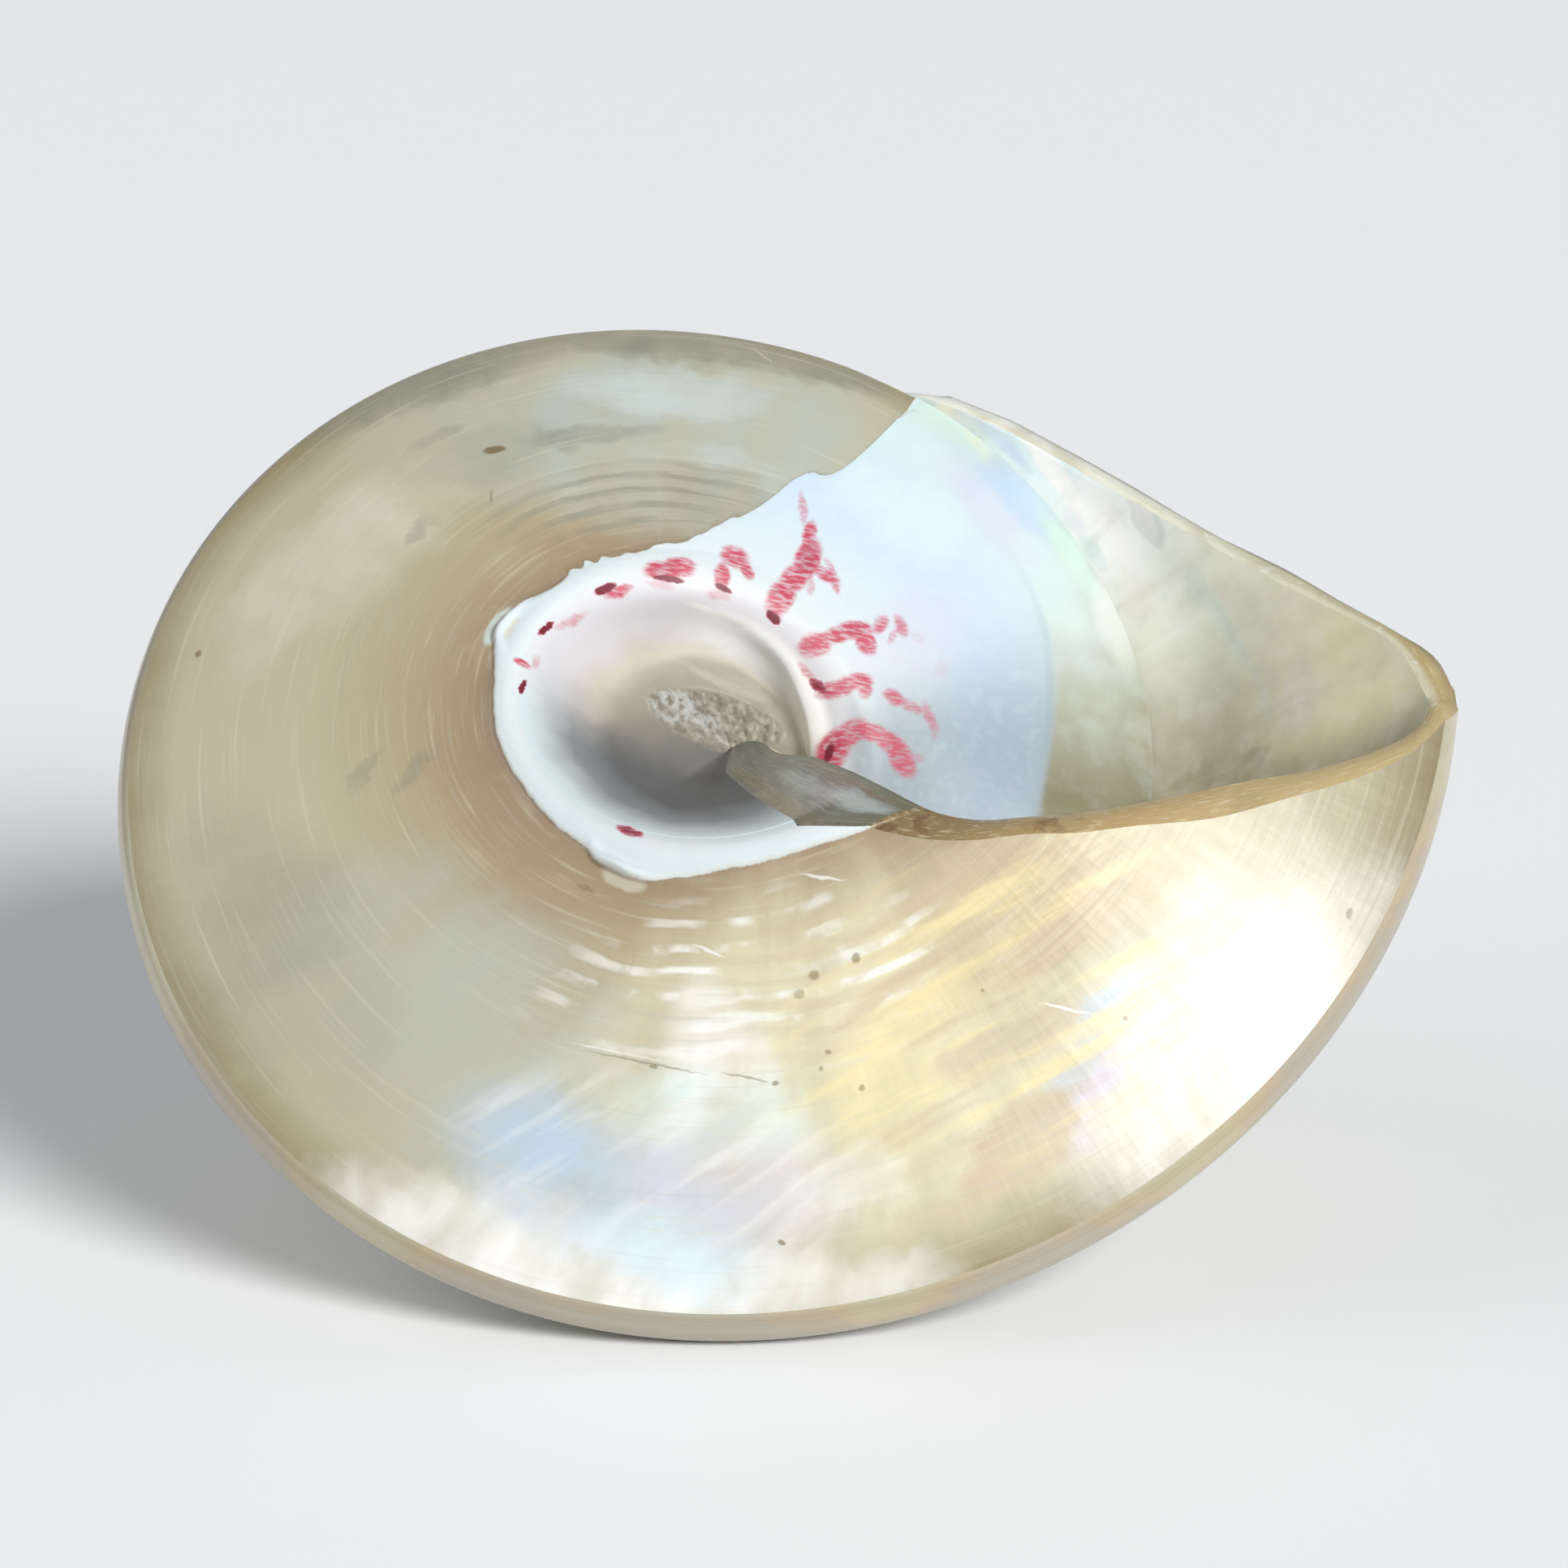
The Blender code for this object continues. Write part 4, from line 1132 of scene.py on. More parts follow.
@dataclass(frozen=True)
class LiningFinish:
    """The mouth's lining: khaki mother-of-pearl with a white wedge of painted highlight and mint tints by the
    suture.
    """

    gloss: Gloss = Gloss(roughness=0.34, spread=0.1, metallic=0.0, coat=0.3)
    # Daubs, lowest first: the two snow daubs are a painted highlight, the white wedge. The rest are the
    # lining's own tints, two tan stains and a chip with a pale rim.
    lights: tuple[Daub, ...] = (
        Daub(1.85, 0.75, 0.42, 0.34, 20.0, Tone.SNOW, 1.0, 0.8),
        Daub(2.3, 0.55, 0.5, 0.2, 24.0, Tone.SNOW, 1.0, 0.6),
        Daub(1.8, 0.18, 0.18, 0.22, 0.0, Tone.FROST, 0.8, 0.8),
        Daub(2.05, 0.25, 0.14, 0.26, 0.0, Tone.LILAC, 0.3, 0.9),
        Daub(2.7, 0.3, 0.34, 0.22, 20.0, Tone.ICE, 0.55, 0.9),
        Daub(3.1, 0.12, 0.1, 0.24, 0.0, Tone.BUTTER, 0.5, 0.8),
        Daub(1.22, 1.42, 0.18, 0.22, 0.0, Tone.MINT, 0.4, 0.95),
        Daub(0.95, 1.6, 0.42, 0.16, -31.0, Tone.MINT, 0.3, 0.95),
        Daub(1.08, 1.75, 0.22, 0.12, -31.0, Tone.BLUSH, 0.25, 0.95),
        Daub(0.32, 2.45, 0.22, 0.36, 0.0, Tone.BLUSH, 0.4, 0.95),
        Daub(0.5, 3.2, 0.2, 0.5, 0.0, Tone.BUTTER, 0.35, 0.9),
        Daub(1.4, 0.5, 0.22, 0.4, 0.0, Tone.BLUSH, 0.3, 0.9),
        Daub(0.14, 0.65, 0.06, 0.24, 0.0, Tone.TAN, 0.6, 0.9),
        Daub(0.12, 1.8, 0.06, 0.3, 0.0, Tone.TAN, 0.6, 0.9),
        Daub(1.76, 1.24, 0.25, 0.2, 28.0, Tone.MIST, 0.55, 0.3),
        Daub(1.79, 1.22, 0.21, 0.16, 28.0, Tone.WHITE, 0.8, 0.35),
    )

    def material(self) -> bpy.types.Material:
        """Makes the material from growth angle and station.

        Returns:
            The material.
        """
        graph = Graph("mouth_lining")
        turns, _, _ = graph.layer("growth")
        plan = graph.kept("plan")
        _, _, station = graph.layer("cover")
        u, v = turns * 18.0, station * LAST_STATION
        place = graph.vector(u, v)
        cloud = graph.noise(plan, 60.0, 4.0)
        fine = graph.noise(plan, 420.0, 4.0)
        layers = graph.noise(graph.vector(turns * 110.0, station * 5.0), 1.0, 3.0)
        colour = graph.ramp(
            u * 0.25 + (cloud - 0.5) * 0.1, (0.02, tint(165, 152, 112)), (0.12, tint(194, 190, 162)),
            (0.24, tint(232, 234, 213)), (0.44, tint(245, 250, 244)), (0.64, tint(224, 241, 243)),
            (0.76, tint(196, 212, 212)))
        colour = graph.blend(v.rise(0.9, 3.2, 0.8) * u.rise(-0.2, 0.2), colour, tint(250, 241, 198))
        edge = v - (u * -0.62 + 2.22) + (cloud - 0.5) * 0.4
        seen = u.rise(0.15, 0.35) * u.rise(1.25, 1.0)
        colour = graph.lay(colour, (edge.rise(-0.03, 0.03) * seen * 0.3, Tone.PALE))
        colour = graph.paint(colour, graph.ragged(place, 2.5, 0.22), self.lights)
        # The first coat is painted shade: a grey line along the step of a growth layer. The coats after it are
        # the pearl's own layers and tints.
        colour = graph.lay(colour, (edge.hump(0.0, 0.12) * seen * 0.3, Tone.MIST),
                                   (layers.rise(0.52, 0.72, 0.3), Tone.PALE),
                                   (layers.rise(0.45, 0.3, 0.25), Tone.SNOW),
                                   (cloud.rise(0.5, 0.68, 0.3), Tone.KHAKI),
                                   (fine.rise(0.42, 0.72, 0.22), Tone.SNOW),
                                   (fine.rise(0.5, 0.28, 0.16), Tone.SAGE))
        stain = graph.noise(plan, 170.0, 4.0).rise(0.52, 0.62) * u.rise(0.55, 0.05) * v.rise(3.0, 2.0)
        colour = graph.lay(colour, (stain * 0.45, Tone.TAN), (u.rise(-0.5, -4.0, 0.35), Tone.SAGE))
        height = fine * 0.5 + layers * 0.5
        return graph.dress(colour, height, 0.00008, self.gloss, fine)


@dataclass(frozen=True)
class LipFinish:
    """The lip's cut face: tan layers, with brown smudges near the columella."""

    gloss: Gloss = Gloss(roughness=0.42, spread=0.14, coat=0.15)

    def material(self) -> bpy.types.Material:
        """Makes the material from the places across and along the face.

        Returns:
            The material.
        """
        graph = Graph("lip_edge")
        plan = graph.kept("plan")
        across, _, station = graph.layer("cover")
        cloud = graph.noise(plan, 150.0, 4.0)
        fine = graph.noise(plan, 900.0, 4.0)
        layers = graph.noise(graph.vector(station * 60.0, across * 9.0), 1.0, 3.0)
        colour = graph.ramp(station, (0.0, tint(225, 230, 230)), (0.12, tint(200, 200, 175)),
                            (0.24, tint(175, 155, 110)), (0.4, tint(190, 170, 125)),
                            (0.6, tint(175, 150, 105)), (0.74, tint(130, 110, 75)))
        inner = across.rise(0.55, 0.9) * station.rise(0.42, 0.3)
        colour = graph.blend(inner * 0.6, colour, tint(232, 231, 210))
        colour = graph.lay(colour, ((layers - 0.5).size().rise(0.06, 0.2, 0.35), Tone.CREAM),
                                   (layers.rise(0.46, 0.3, 0.3), Tone.TAN),
                                   (cloud.rise(0.52, 0.68) * 0.35, Tone.TAN))
        stain = station.rise(0.58, 0.66) * fine.rise(0.48, 0.6) * cloud.rise(0.42, 0.55)
        colour = graph.blend(stain * 0.8, colour, tint(104, 72, 46))
        outline = across.rise(0.4, 0.06) * station.rise(0.34, 0.22)
        colour = graph.blend(outline * 0.8, colour, tint(130, 122, 100))
        chips = fine.rise(0.6, 0.68) * across.rise(0.3, 0.6) * station.rise(0.45, 0.3)
        colour = graph.lay(colour, (chips * 0.35, Tone.WHITE))
        height = layers * 0.6 + fine * 0.4
        return graph.dress(colour, height, 0.00012, self.gloss, fine)


@dataclass(frozen=True)
class FoldFinish:
    """The columella's fold: grey-green pearl with an olive stain, brushed along its length."""

    gloss: Gloss = Gloss(roughness=0.3, spread=0.1, metallic=0.08, coat=0.35)

    def material(self) -> bpy.types.Material:
        """Makes the material from the places across and along the fold.

        Returns:
            The material.
        """
        graph = Graph("columella_fold")
        plan = graph.kept("plan")
        across, _, station = graph.layer("cover")
        fine = graph.noise(plan, 1100.0, 4.0)
        brushed = graph.noise(graph.vector(station * 40.0, across * 26.0), 1.0, 3.0)
        colour = graph.ramp(station, (0.69, tint(136, 120, 86)), (0.735, tint(120, 110, 82)),
                            (0.8, tint(108, 108, 88)), (0.9, tint(106, 108, 98)),
                            (1.0, tint(104, 108, 102)))
        place = graph.ragged(graph.vector(station * LAST_STATION, across), 3.0, 0.3)
        colour = graph.paint(colour, place, (
            Daub(14.55, 0.6, 0.6, 0.24, 0.0, Tone.MIST, 0.7, 0.8),
            Daub(15.6, 0.55, 0.9, 0.2, 0.0, Tone.SAGE, 0.45, 0.9),
            Daub(15.2, 0.14, 1.2, 0.16, 0.0, Tone.OLIVE, 0.9, 0.8),
            Daub(16.6, 0.2, 0.9, 0.16, 0.0, Tone.OLIVE, 0.6, 0.8),
            Daub(15.2, 0.9, 1.6, 0.16, 0.0, Tone.OLIVE, 0.8, 0.8),
            Daub(14.7, 0.84, 0.5, 0.07, 0.0, Tone.RUST, 0.6, 0.9),
        ))
        colour = graph.lay(colour, (brushed.rise(0.5, 0.72, 0.28), Tone.PALE))
        specks = fine.rise(0.58, 0.66) * across.rise(0.3, 0.0)
        colour = graph.blend(specks * 0.8, colour, tint(92, 70, 48))
        colour = graph.blend(across.rise(0.93, 1.0) * 0.7, colour, tint(96, 88, 66))
        height = brushed * 0.6 + fine * 0.4
        return graph.dress(colour, height, 0.0001, self.gloss, fine)


@dataclass(frozen=True)
class FloorFinish:
    """The plain pale floor."""

    colour: Colour = (0.955, 0.975, 1.0, 1.0)

    def material(self) -> bpy.types.Material:
        """Makes the material."""
        graph = Graph("pale_floor")
        return graph.finish(Base_Color=self.colour, Roughness=0.75)


# ---- The shell's sub-assemblies ----


@dataclass
class Rows:
    """The growth angles that every strip shares, so that their edges meet."""

    turn_step: float = 1.0
    deep_step: float = 3.0
    lip_rows: int = 135

    def even(self, first: float) -> Array:
        """Angles from first to the last even row: coarse at first, fine over the last whorl.

        Args:
            first: The first row's angle.

        Returns:
            The angles.
        """
        last = GROWTH.last_even_row
        fine = np.arange(last - 360.0, last + 1e-6, self.turn_step)
        deep = np.arange(first, last - 360.0 - 1e-6, self.deep_step)
        return np.concatenate([deep, fine])

    def shares(self) -> Array:
        """How far each lip row is on its way to the lip."""
        return np.arange(1, self.lip_rows + 1) / self.lip_rows

    def grid(self, first: float, ends: Array) -> tuple[Array, Array]:
        """Angles and lip shares for all rows by the columns that end at the given angles.

        Args:
            first: The first row's angle.
            ends: The angle at which each column meets the lip.

        Returns:
            Angles and lip shares, both rows by columns.
        """
        even = self.even(first)
        last = GROWTH.last_even_row
        share = np.concatenate([np.zeros(len(even)), self.shares()])[:, None]
        flat = np.concatenate([even, np.full(self.lip_rows, last)])[:, None]
        angle = np.where(share > 0.0, last + (ends[None, :] - last) * share, flat)
        return angle, np.broadcast_to(share, angle.shape)


ROWS = Rows()


def marks(angle: Array, radius: Array, across: Array | float, points: Array,
          cover: Sequence[Array | float] = (0.0, 0.0, 0.0)) -> dict[str, Array]:
    """What the finishes read at each crossing.

    Args:
        angle: Growth angles in degrees.
        radius: Radii in keel radii.
        across: Place across the whorl's side.
        points: Places in the growth frame.
        cover: Three layers from 0 to 1, whose meaning each finish gives.

    Returns:
        The vectors growth, disc, plan and cover.
    """
    angle, radius = (np.broadcast_to(x, points.shape[:2]) for x in (angle, radius))
    turn = np.radians(angle)

    def stack(*layers: Array | float) -> Array:
        """Three layers as vectors."""
        return np.stack([np.broadcast_to(layer, points.shape[:2]) for layer in layers], axis=-1)

    return {
        "growth": stack(angle / 360.0, radius, across),
        "disc": stack(radius * np.cos(turn), radius * np.sin(turn), 0.0),
        "plan": points,
        "cover": stack(*cover),
    }


@dataclass
class Spire:
    """The side walls of all whorls, from the apex to the lip, with the rounded keel band."""

    finish: Pearl = Pearl()
    whorls: float = 8.0
    shares: Sequence[float] = (0.0, 0.012, 0.03, 0.06, 0.1, 0.15, 0.21, 0.28, 0.35, 0.42, 0.49, 0.56, 0.63,
                               0.7, 0.76, 0.82, 0.87, 0.905, 0.93, 0.95, 0.965)
    profile: Table = ((0.0, -0.0035), (0.03, 0.002), (0.1, 0.0045), (0.38, 0.007), (0.72, 0.0045),
                      (0.85, 0.0048), (0.93, 0.0062), (0.965, 0.0045), (1.0, -0.0054))
    sharp_keel: Table = ((0.9947, 1.1122), (1.0, 1.118), (0.9965, 1.126), (0.993, 1.134), (0.989, 1.144),
                         (0.9845, 1.154), (0.9805, 1.164), (0.977, 1.172))
    round_keel: Table = ((0.994, 1.1125), (0.9977, 1.1192), (0.9984, 1.1265), (0.9972, 1.135),
                         (0.994, 1.145), (0.989, 1.156), (0.983, 1.1655), (0.977, 1.172))
    keel_sink: float = 0.0054
    bare_span: tuple[float, float] = (-292.5, -284.0)
    free_span: tuple[float, float] = (-300.0, -288.0)
    covered_until: float = -292.6
    knobs: int = 22
    knob_rise: float = 0.006
    knob_span: tuple[float, float] = (-1400.0, -500.0)
    apex_radius: float = 0.001
    apex_depth: float = 0.0015

    def lip_ends(self) -> Array:
        """Where each column meets the lip.

        Returns:
            One growth angle for each column.
        """
        side = flow(GROWTH.side_lip, np.array(self.shares))
        band = np.array([float(flow(GROWTH.base_lip, radius)) for radius, _ in self.sharp_keel])
        band[0] = 1.6
        return np.concatenate([side, band])

    def keel_points(self, angle: Array, free: Array) -> Array:
        """The keel band's columns: rounded where it is bare, gathered on the keel under the next whorl.

        Args:
            angle: Growth angles in degrees.
            free: How far each crossing is free of the next whorl, from 0 to 1.

        Returns:
            Points in the growth frame.
        """
        bare = ease(*self.bare_span, angle)[..., None]
        sharp, rounded = np.array(self.sharp_keel), np.array(self.round_keel)
        section = sharp + (rounded - sharp) * bare
        points = GROWTH.place(angle, section[..., 0], section[..., 1])
        corner = GROWTH.on_side(angle, 1.0, -self.keel_sink * (1.0 - free))
        return np.where((angle > self.covered_until)[..., None], points, corner)

    def surface(self) -> tuple[Array, Array, Array]:
        """All crossings: points, angles and places across the strip.

        Returns:
            The three, each rows by columns.
        """
        first = GROWTH.last_even_row - 360.0 * (self.whorls + 1)
        angle, share = ROWS.grid(first, self.lip_ends())
        s = np.array(self.shares)
        count = len(s)
        side, late = angle[:, :count], share[:, :count]
        bulge = flow(self.profile, s)[None, :] * (1.0 - 0.45 * late)
        near_suture = 1.0 - ease(0.0, 0.03, s)[None, :]
        bulge = bulge * (1.0 - 0.6 * near_suture * late)
        early = 1.0 - ease(*self.knob_span, side)
        wave = np.cos(np.radians(side * self.knobs)) * bump(0.12, 0.09, s)[None, :]
        bulge = bulge + wave * self.knob_rise * early
        points = np.empty(angle.shape + (3,))
        points[:, :count] = GROWTH.on_side(side, s[None, :], bulge)
        columns = angle[:, count:]
        points[:, count:] = self.keel_points(columns, ease(*self.free_span, columns))
        across = np.concatenate([s, 1.0 + 0.02 * np.arange(1, len(self.sharp_keel) + 1)])
        return points, angle, np.broadcast_to(across, angle.shape)

    def build(self) -> bpy.types.Object:
        """Builds the side walls and closes the apex.

        Returns:
            The piece.
        """
        points, angle, across = self.surface()
        material = self.finish.material()
        side = lay_grid("shell_spire", points, marks(angle, 1.0, across, points), material)
        deselect()
        bpy.ops.mesh.primitive_uv_sphere_add(segments=32, ring_count=16, radius=self.apex_radius,
                                             location=(0.0, 0.0, self.apex_depth))
        tip = bpy.context.object
        bpy.ops.object.transform_apply(location=True, rotation=False, scale=False)
        tip.data.materials.append(material)
        weld(side, tip)
        smooth(side, 42.0)
        return side


@dataclass
class Base:
    """The base: crowned field, the callus glaze with its ragged edge, and the funnel down to the pit."""

    finish: BaseFinish = BaseFinish()
    field_columns: int = 34
    glaze_columns: int = 26
    ridge_columns: int = 9
    wall_columns: int = 19
    heel_columns: int = 4
    floor_columns: int = 46
    shown_turns: float = 2.15
    bare_span: tuple[float, float] = (-330.0, -292.5)
    mouth_span: tuple[float, float] = (-294.6, -293.0)
    quiet_span: tuple[float, float] = (-291.0, -284.0)
    smooth_span: tuple[float, float] = (-235.0, -215.0)
    glaze_span: tuple[float, float] = (-440.0, -420.0)
    shown_span: tuple[float, float] = (-427.5, -397.5)
    keel_steps: Sequence[float] = (0.0, 0.004, 0.01, 0.018)
    edge_steps: Sequence[float] = (-0.0012, 0.0008, 0.0026, 0.0046)
    edge_cover: Sequence[float] = (0.45, 0.85, 0.98, 1.0)
    crust_middle: tuple[float, float] = (0.02, 0.088)
    crust_reach: tuple[float, float] = (0.15, 0.062)
    crust_rise: float = 0.00024
    grain_rise: float = 0.00006
    grain_waves: int = 40
    wall_sag: float = 0.0024
    last_radius: float = 0.33
    lip_radius: float = 0.375
    inner_suture: float = 0.95
    columella_foot: float = 0.42
    glaze_rise: float = 0.0052
    outline: Table = ((-330.0, 0.941), (-296.0, 0.944), (-294.2, 0.935), (-293.2, 0.87), (-292.2, 0.77),
                      (-290.0, 0.68), (-287.5, 0.645), (-284.0, 0.618), (-280.5, 0.545), (-276.0, 0.482),
                      (-270.0, 0.444), (-264.0, 0.405), (-258.0, 0.386), (-250.0, 0.374), (-243.0, 0.368),
                      (-227.0, 0.367), (-218.0, 0.361), (-206.0, 0.384), (-197.0, 0.39), (-190.0, 0.377),
                      (-182.0, 0.364), (-173.0, 0.36), (-160.0, 0.362), (-144.0, 0.362), (-128.0, 0.369),
                      (-119.0, 0.374), (-114.0, 0.388), (-104.0, 0.394), (-95.0, 0.381), (-84.0, 0.368),
                      (-69.0, 0.365))
    lip_outline: float = 0.379
    spurs: Sequence[tuple[float, float, float]] = ((-236.0, 1.6, 0.01), (-231.0, 1.2, 0.013),
                                                   (-225.5, 1.8, 0.012), (-286.2, 1.4, 0.018),
                                                   (-273.0, 1.5, 0.009), (-253.0, 2.0, 0.006))
    nubs: Sequence[tuple[float, float, float]] = ((-198.0, 9.0, 0.014), (-110.0, 7.0, 0.014))

    def edge(self, angle: Array) -> Array:
        """Radius of the glaze's outer edge, with its small waves, spurs and nubs.

        Args:
            angle: Growth angles in degrees.

        Returns:
            Radii in keel radii.
        """
        edge = flow(self.outline, angle)
        quiet = ease(*self.quiet_span, angle)
        t = np.radians(angle)
        rough = 1.0 - 0.75 * ease(*self.smooth_span, angle)
        waves = 0.0016 * np.sin(31 * t + 0.7) + 0.0013 * np.sin(53 * t) + 0.001 * np.sin(87 * t)
        edge = edge + quiet * rough * waves
        for centre, width, reach in self.spurs:
            edge = edge + reach * bump(centre, width, angle)
        return edge

    def first_radius(self, angle: Array) -> Array:
        """Radius of the outermost column: the keel band, or the inner suture where a whorl covers it."""
        free = ease(*self.bare_span, angle)
        return self.inner_suture + (GROWTH.base_edge - self.inner_suture) * free

    def last(self, angle: Array) -> Array:
        """Radius of the innermost column on even rows."""
        shown = ease(*self.shown_span, angle)
        return self.last_radius + (self.columella_foot - self.last_radius) * (1.0 - shown)

    def under_mouth(self, angle: Array) -> Array:
        """How far the glaze covers the whole width, from 0 to 1, as it does inside the mouth."""
        return 1.0 - ease(*self.mouth_span, angle)

    def columns(self, angle: Array, share: Array) -> tuple[Array, Array, Array]:
        """Radii and glaze of one row of columns.

        Args:
            angle: Growth angle of each row, which for the lip rows is the last even row's.
            share: Lip share of each row.

        Returns:
            Radii, glaze thickness from 0 to 1, and nearness to the glaze's edge, which lies at 0.5.
        """
        first = self.first_radius(angle)[:, None]
        last = (self.last(angle) + (self.lip_radius - self.last(angle)) * share)[:, None]
        edge = np.minimum(self.edge(angle), self.first_radius(angle) - 0.011)
        edge = (edge + (self.lip_outline - edge) * share**1.5)[:, None]
        inside = ease(*self.glaze_span, angle)[:, None]
        edge = edge * inside + (first - 0.012) * (1.0 - inside)
        near = np.array(self.keel_steps)[None, :] * np.minimum((first - edge) / 0.05, 1.0)
        start = first - near
        t = np.linspace(0.0, 1.0, self.field_columns)[None, 1:]
        outer = edge + 0.0035
        field_part = start[:, -1:] + (outer - start[:, -1:]) * t
        step = edge - np.array(self.edge_steps)[None, :]
        t = np.linspace(0.0, 1.0, self.glaze_columns)[None, 1:]
        glaze_part = step[:, -1:] + (last - step[:, -1:]) * t
        radius = np.concatenate([start, field_part, step, glaze_part], axis=1)
        cover = np.zeros(start.shape[1] + field_part.shape[1])
        cover = np.concatenate([cover, self.edge_cover, np.ones(self.glaze_columns - 1)])
        under = self.under_mouth(angle)[:, None]
        nearness = np.clip(0.5 + (edge - radius) / 0.04, 0.0, 1.0)
        return radius, np.maximum(cover, under), np.maximum(nearness, under)

    def glaze_lift(self, angle: Array, radius: Array, cover: Array) -> Array:
        """Thickness of the glaze, with the two nubs that stand proud of its edge.

        Args:
            angle: Growth angles in degrees.
            radius: Radii in keel radii.
            cover: How thick the glaze is, from 0 to 1.

        Returns:
            Thickness in keel radii.
        """
        lift = self.glaze_rise * cover
        edge = self.edge(angle)
        for centre, width, rise in self.nubs:
            lift = lift + cover * rise * bump(centre, width, angle) * bump(0.0, 0.011, radius - edge + 0.007)
        return lift

    def surface(self) -> tuple[Array, Array, Array, Array]:
        """All crossings of the base, keel band to inner column: points, angles, radii and nearness.

        Returns:
            The four, each rows by columns.
        """
        even = ROWS.even(GROWTH.last_even_row - 360.0 * self.shown_turns)
        shares = np.concatenate([np.zeros(len(even)), ROWS.shares()])
        row_angle = np.concatenate([even, np.full(ROWS.lip_rows, GROWTH.last_even_row)])
        radius, cover, nearness = self.columns(row_angle, shares)
        ends = flow(GROWTH.base_lip, radius[-1])
        last = GROWTH.last_even_row
        to_lip = last + (ends[None, :] - last) * shares[:, None]
        angle = np.where(shares[:, None] > 0.0, to_lip, row_angle[:, None])
        lift = self.glaze_lift(angle, radius, cover)
        return GROWTH.on_base(angle, radius, lift), angle, radius, nearness

    def funnel(self, angle: Array) -> tuple[Array, Array]:
        """The callus ridge, funnel wall, foot and floor: points and place across, rows by columns.

        Args:
            angle: Growth angles in degrees.

        Returns:
            Points, rows by columns by 3, and one place across for each column.
        """
        start = self.last(angle)
        edge = flow(GROWTH.funnel_edge, angle)
        ridge_share = np.array([0.0, 0.5, 1.0])
        radius = start[:, None] + (edge - start)[:, None] * ridge_share
        ridge = GROWTH.on_base(angle[:, None], radius, self.glaze_rise * np.array([1.0, 0.9, 0.6]))
        turn = np.radians(angle + GROWTH.axis_offset)
        foot_radius, depth = flow(GROWTH.foot_radius, angle), flow(GROWTH.foot_depth, angle)
        foot = np.stack([foot_radius * np.cos(turn), foot_radius * np.sin(turn), depth], axis=-1)
        pit = np.broadcast_to(np.array(GROWTH.pit), foot.shape)
        rim = ridge[:, -1]
        down = np.array([0.0, 0.0, -1.0])
        wall = [rim + (foot - rim) * t + down * self.wall_sag * t * (1 - t) for t in (1 / 3, 2 / 3)]
        heel = foot + (rim - foot) * 0.06
        toe = foot + (pit - foot) * 0.08
        floor = [foot + (pit - foot) * t for t in (0.35, 0.7)]
        net = np.stack([ridge[:, 0], ridge[:, 1], rim, *wall, heel, toe, *floor, pit], axis=1)
        stretches = ((0.0, 2.0, self.ridge_columns), (2.0, 5.0, self.wall_columns),
                     (5.0, 6.0, self.heel_columns), (6.0, 9.0, self.floor_columns))
        at = np.concatenate([[0.0], *(np.linspace(*stretch)[1:] for stretch in stretches)])
        return through(net, at), at

    def crust(self, angle: Array, at: Array, points: Array) -> tuple[Array, Array]:
        """The grainy deposit on the funnel's floor: how thick it lies, and the surface with it.

        Args:
            angle: Growth angles in degrees.
            at: Places across, one for each column.
            points: The funnel's bare surface.

        Returns:
            The surface with the crust on it, and how thick it lies, from 0 to 1.
        """
        size = GROWTH.size(angle)[:, None]
        turn = np.arctan2(points[..., 1], points[..., 0]) - math.radians(GROWTH.axis_offset)
        reach = np.hypot(points[..., 0], points[..., 1]) / size
        u, v = reach * np.cos(turn) - self.crust_middle[0], reach * np.sin(turn) - self.crust_middle[1]
        far = np.hypot(u / self.crust_reach[0], v / self.crust_reach[1])
        cover = (1.0 - ease(0.72, 1.0, far)) * ease(5.8, 6.4, at)[None, :]
        chance = np.random.default_rng(11)
        grain, patches = np.zeros(cover.shape), np.zeros(cover.shape)
        for _ in range(self.grain_waves):
            turn, phase = chance.uniform(0.0, math.tau), chance.uniform(0.0, math.tau)
            pitch = chance.uniform(4.0, 15.0)
            wave = points[..., 0] * math.cos(turn) + points[..., 1] * math.sin(turn)
            grain += np.sin(wave * 1000.0 * pitch + phase) / 5.0
            patches += np.sin(wave * 140.0 * pitch + phase) / 5.0
        patchy = np.clip(cover * 1.35 + 0.12 * patches - 0.12, 0.0, 1.0) * (cover > 0.0)
        raised = points.copy()
        raised[..., 2] += patchy * (self.crust_rise + self.grain_rise * grain)
        return raised, patchy

    def build(self) -> bpy.types.Object:
        """Builds the base and the funnel as one skin.

        Returns:
            The piece.
        """
        callus = self.finish.callus_material()
        points, angle, radius, nearness = self.surface()
        field_part = lay_grid("shell_base", points, marks(angle, radius, 0.0, points, (nearness, 0.0, 0.0)),
                              self.finish.pearl_material())
        field_part.data.materials.append(callus)
        layer = field_part.data.attributes["cover"].data
        for face in field_part.data.polygons:
            face.material_index = int(min(layer[corner].vector.x for corner in face.vertices) > 0.92)
        even = ROWS.even(GROWTH.last_even_row - 360.0)
        pieces, at = self.funnel(even)
        raised, crust = self.crust(even, at, pieces)
        reach = np.linalg.norm(raised[..., :2], axis=-1) / GROWTH.size(even)[:, None]
        angles = np.broadcast_to(even[:, None], reach.shape)
        kept = marks(angles, reach, 0.0, raised, (1.0, crust, at / at[-1]))
        funnel = lay_grid("funnel", raised, kept, callus)
        weld(field_part, funnel)
        smooth(field_part, 50.0)
        return field_part


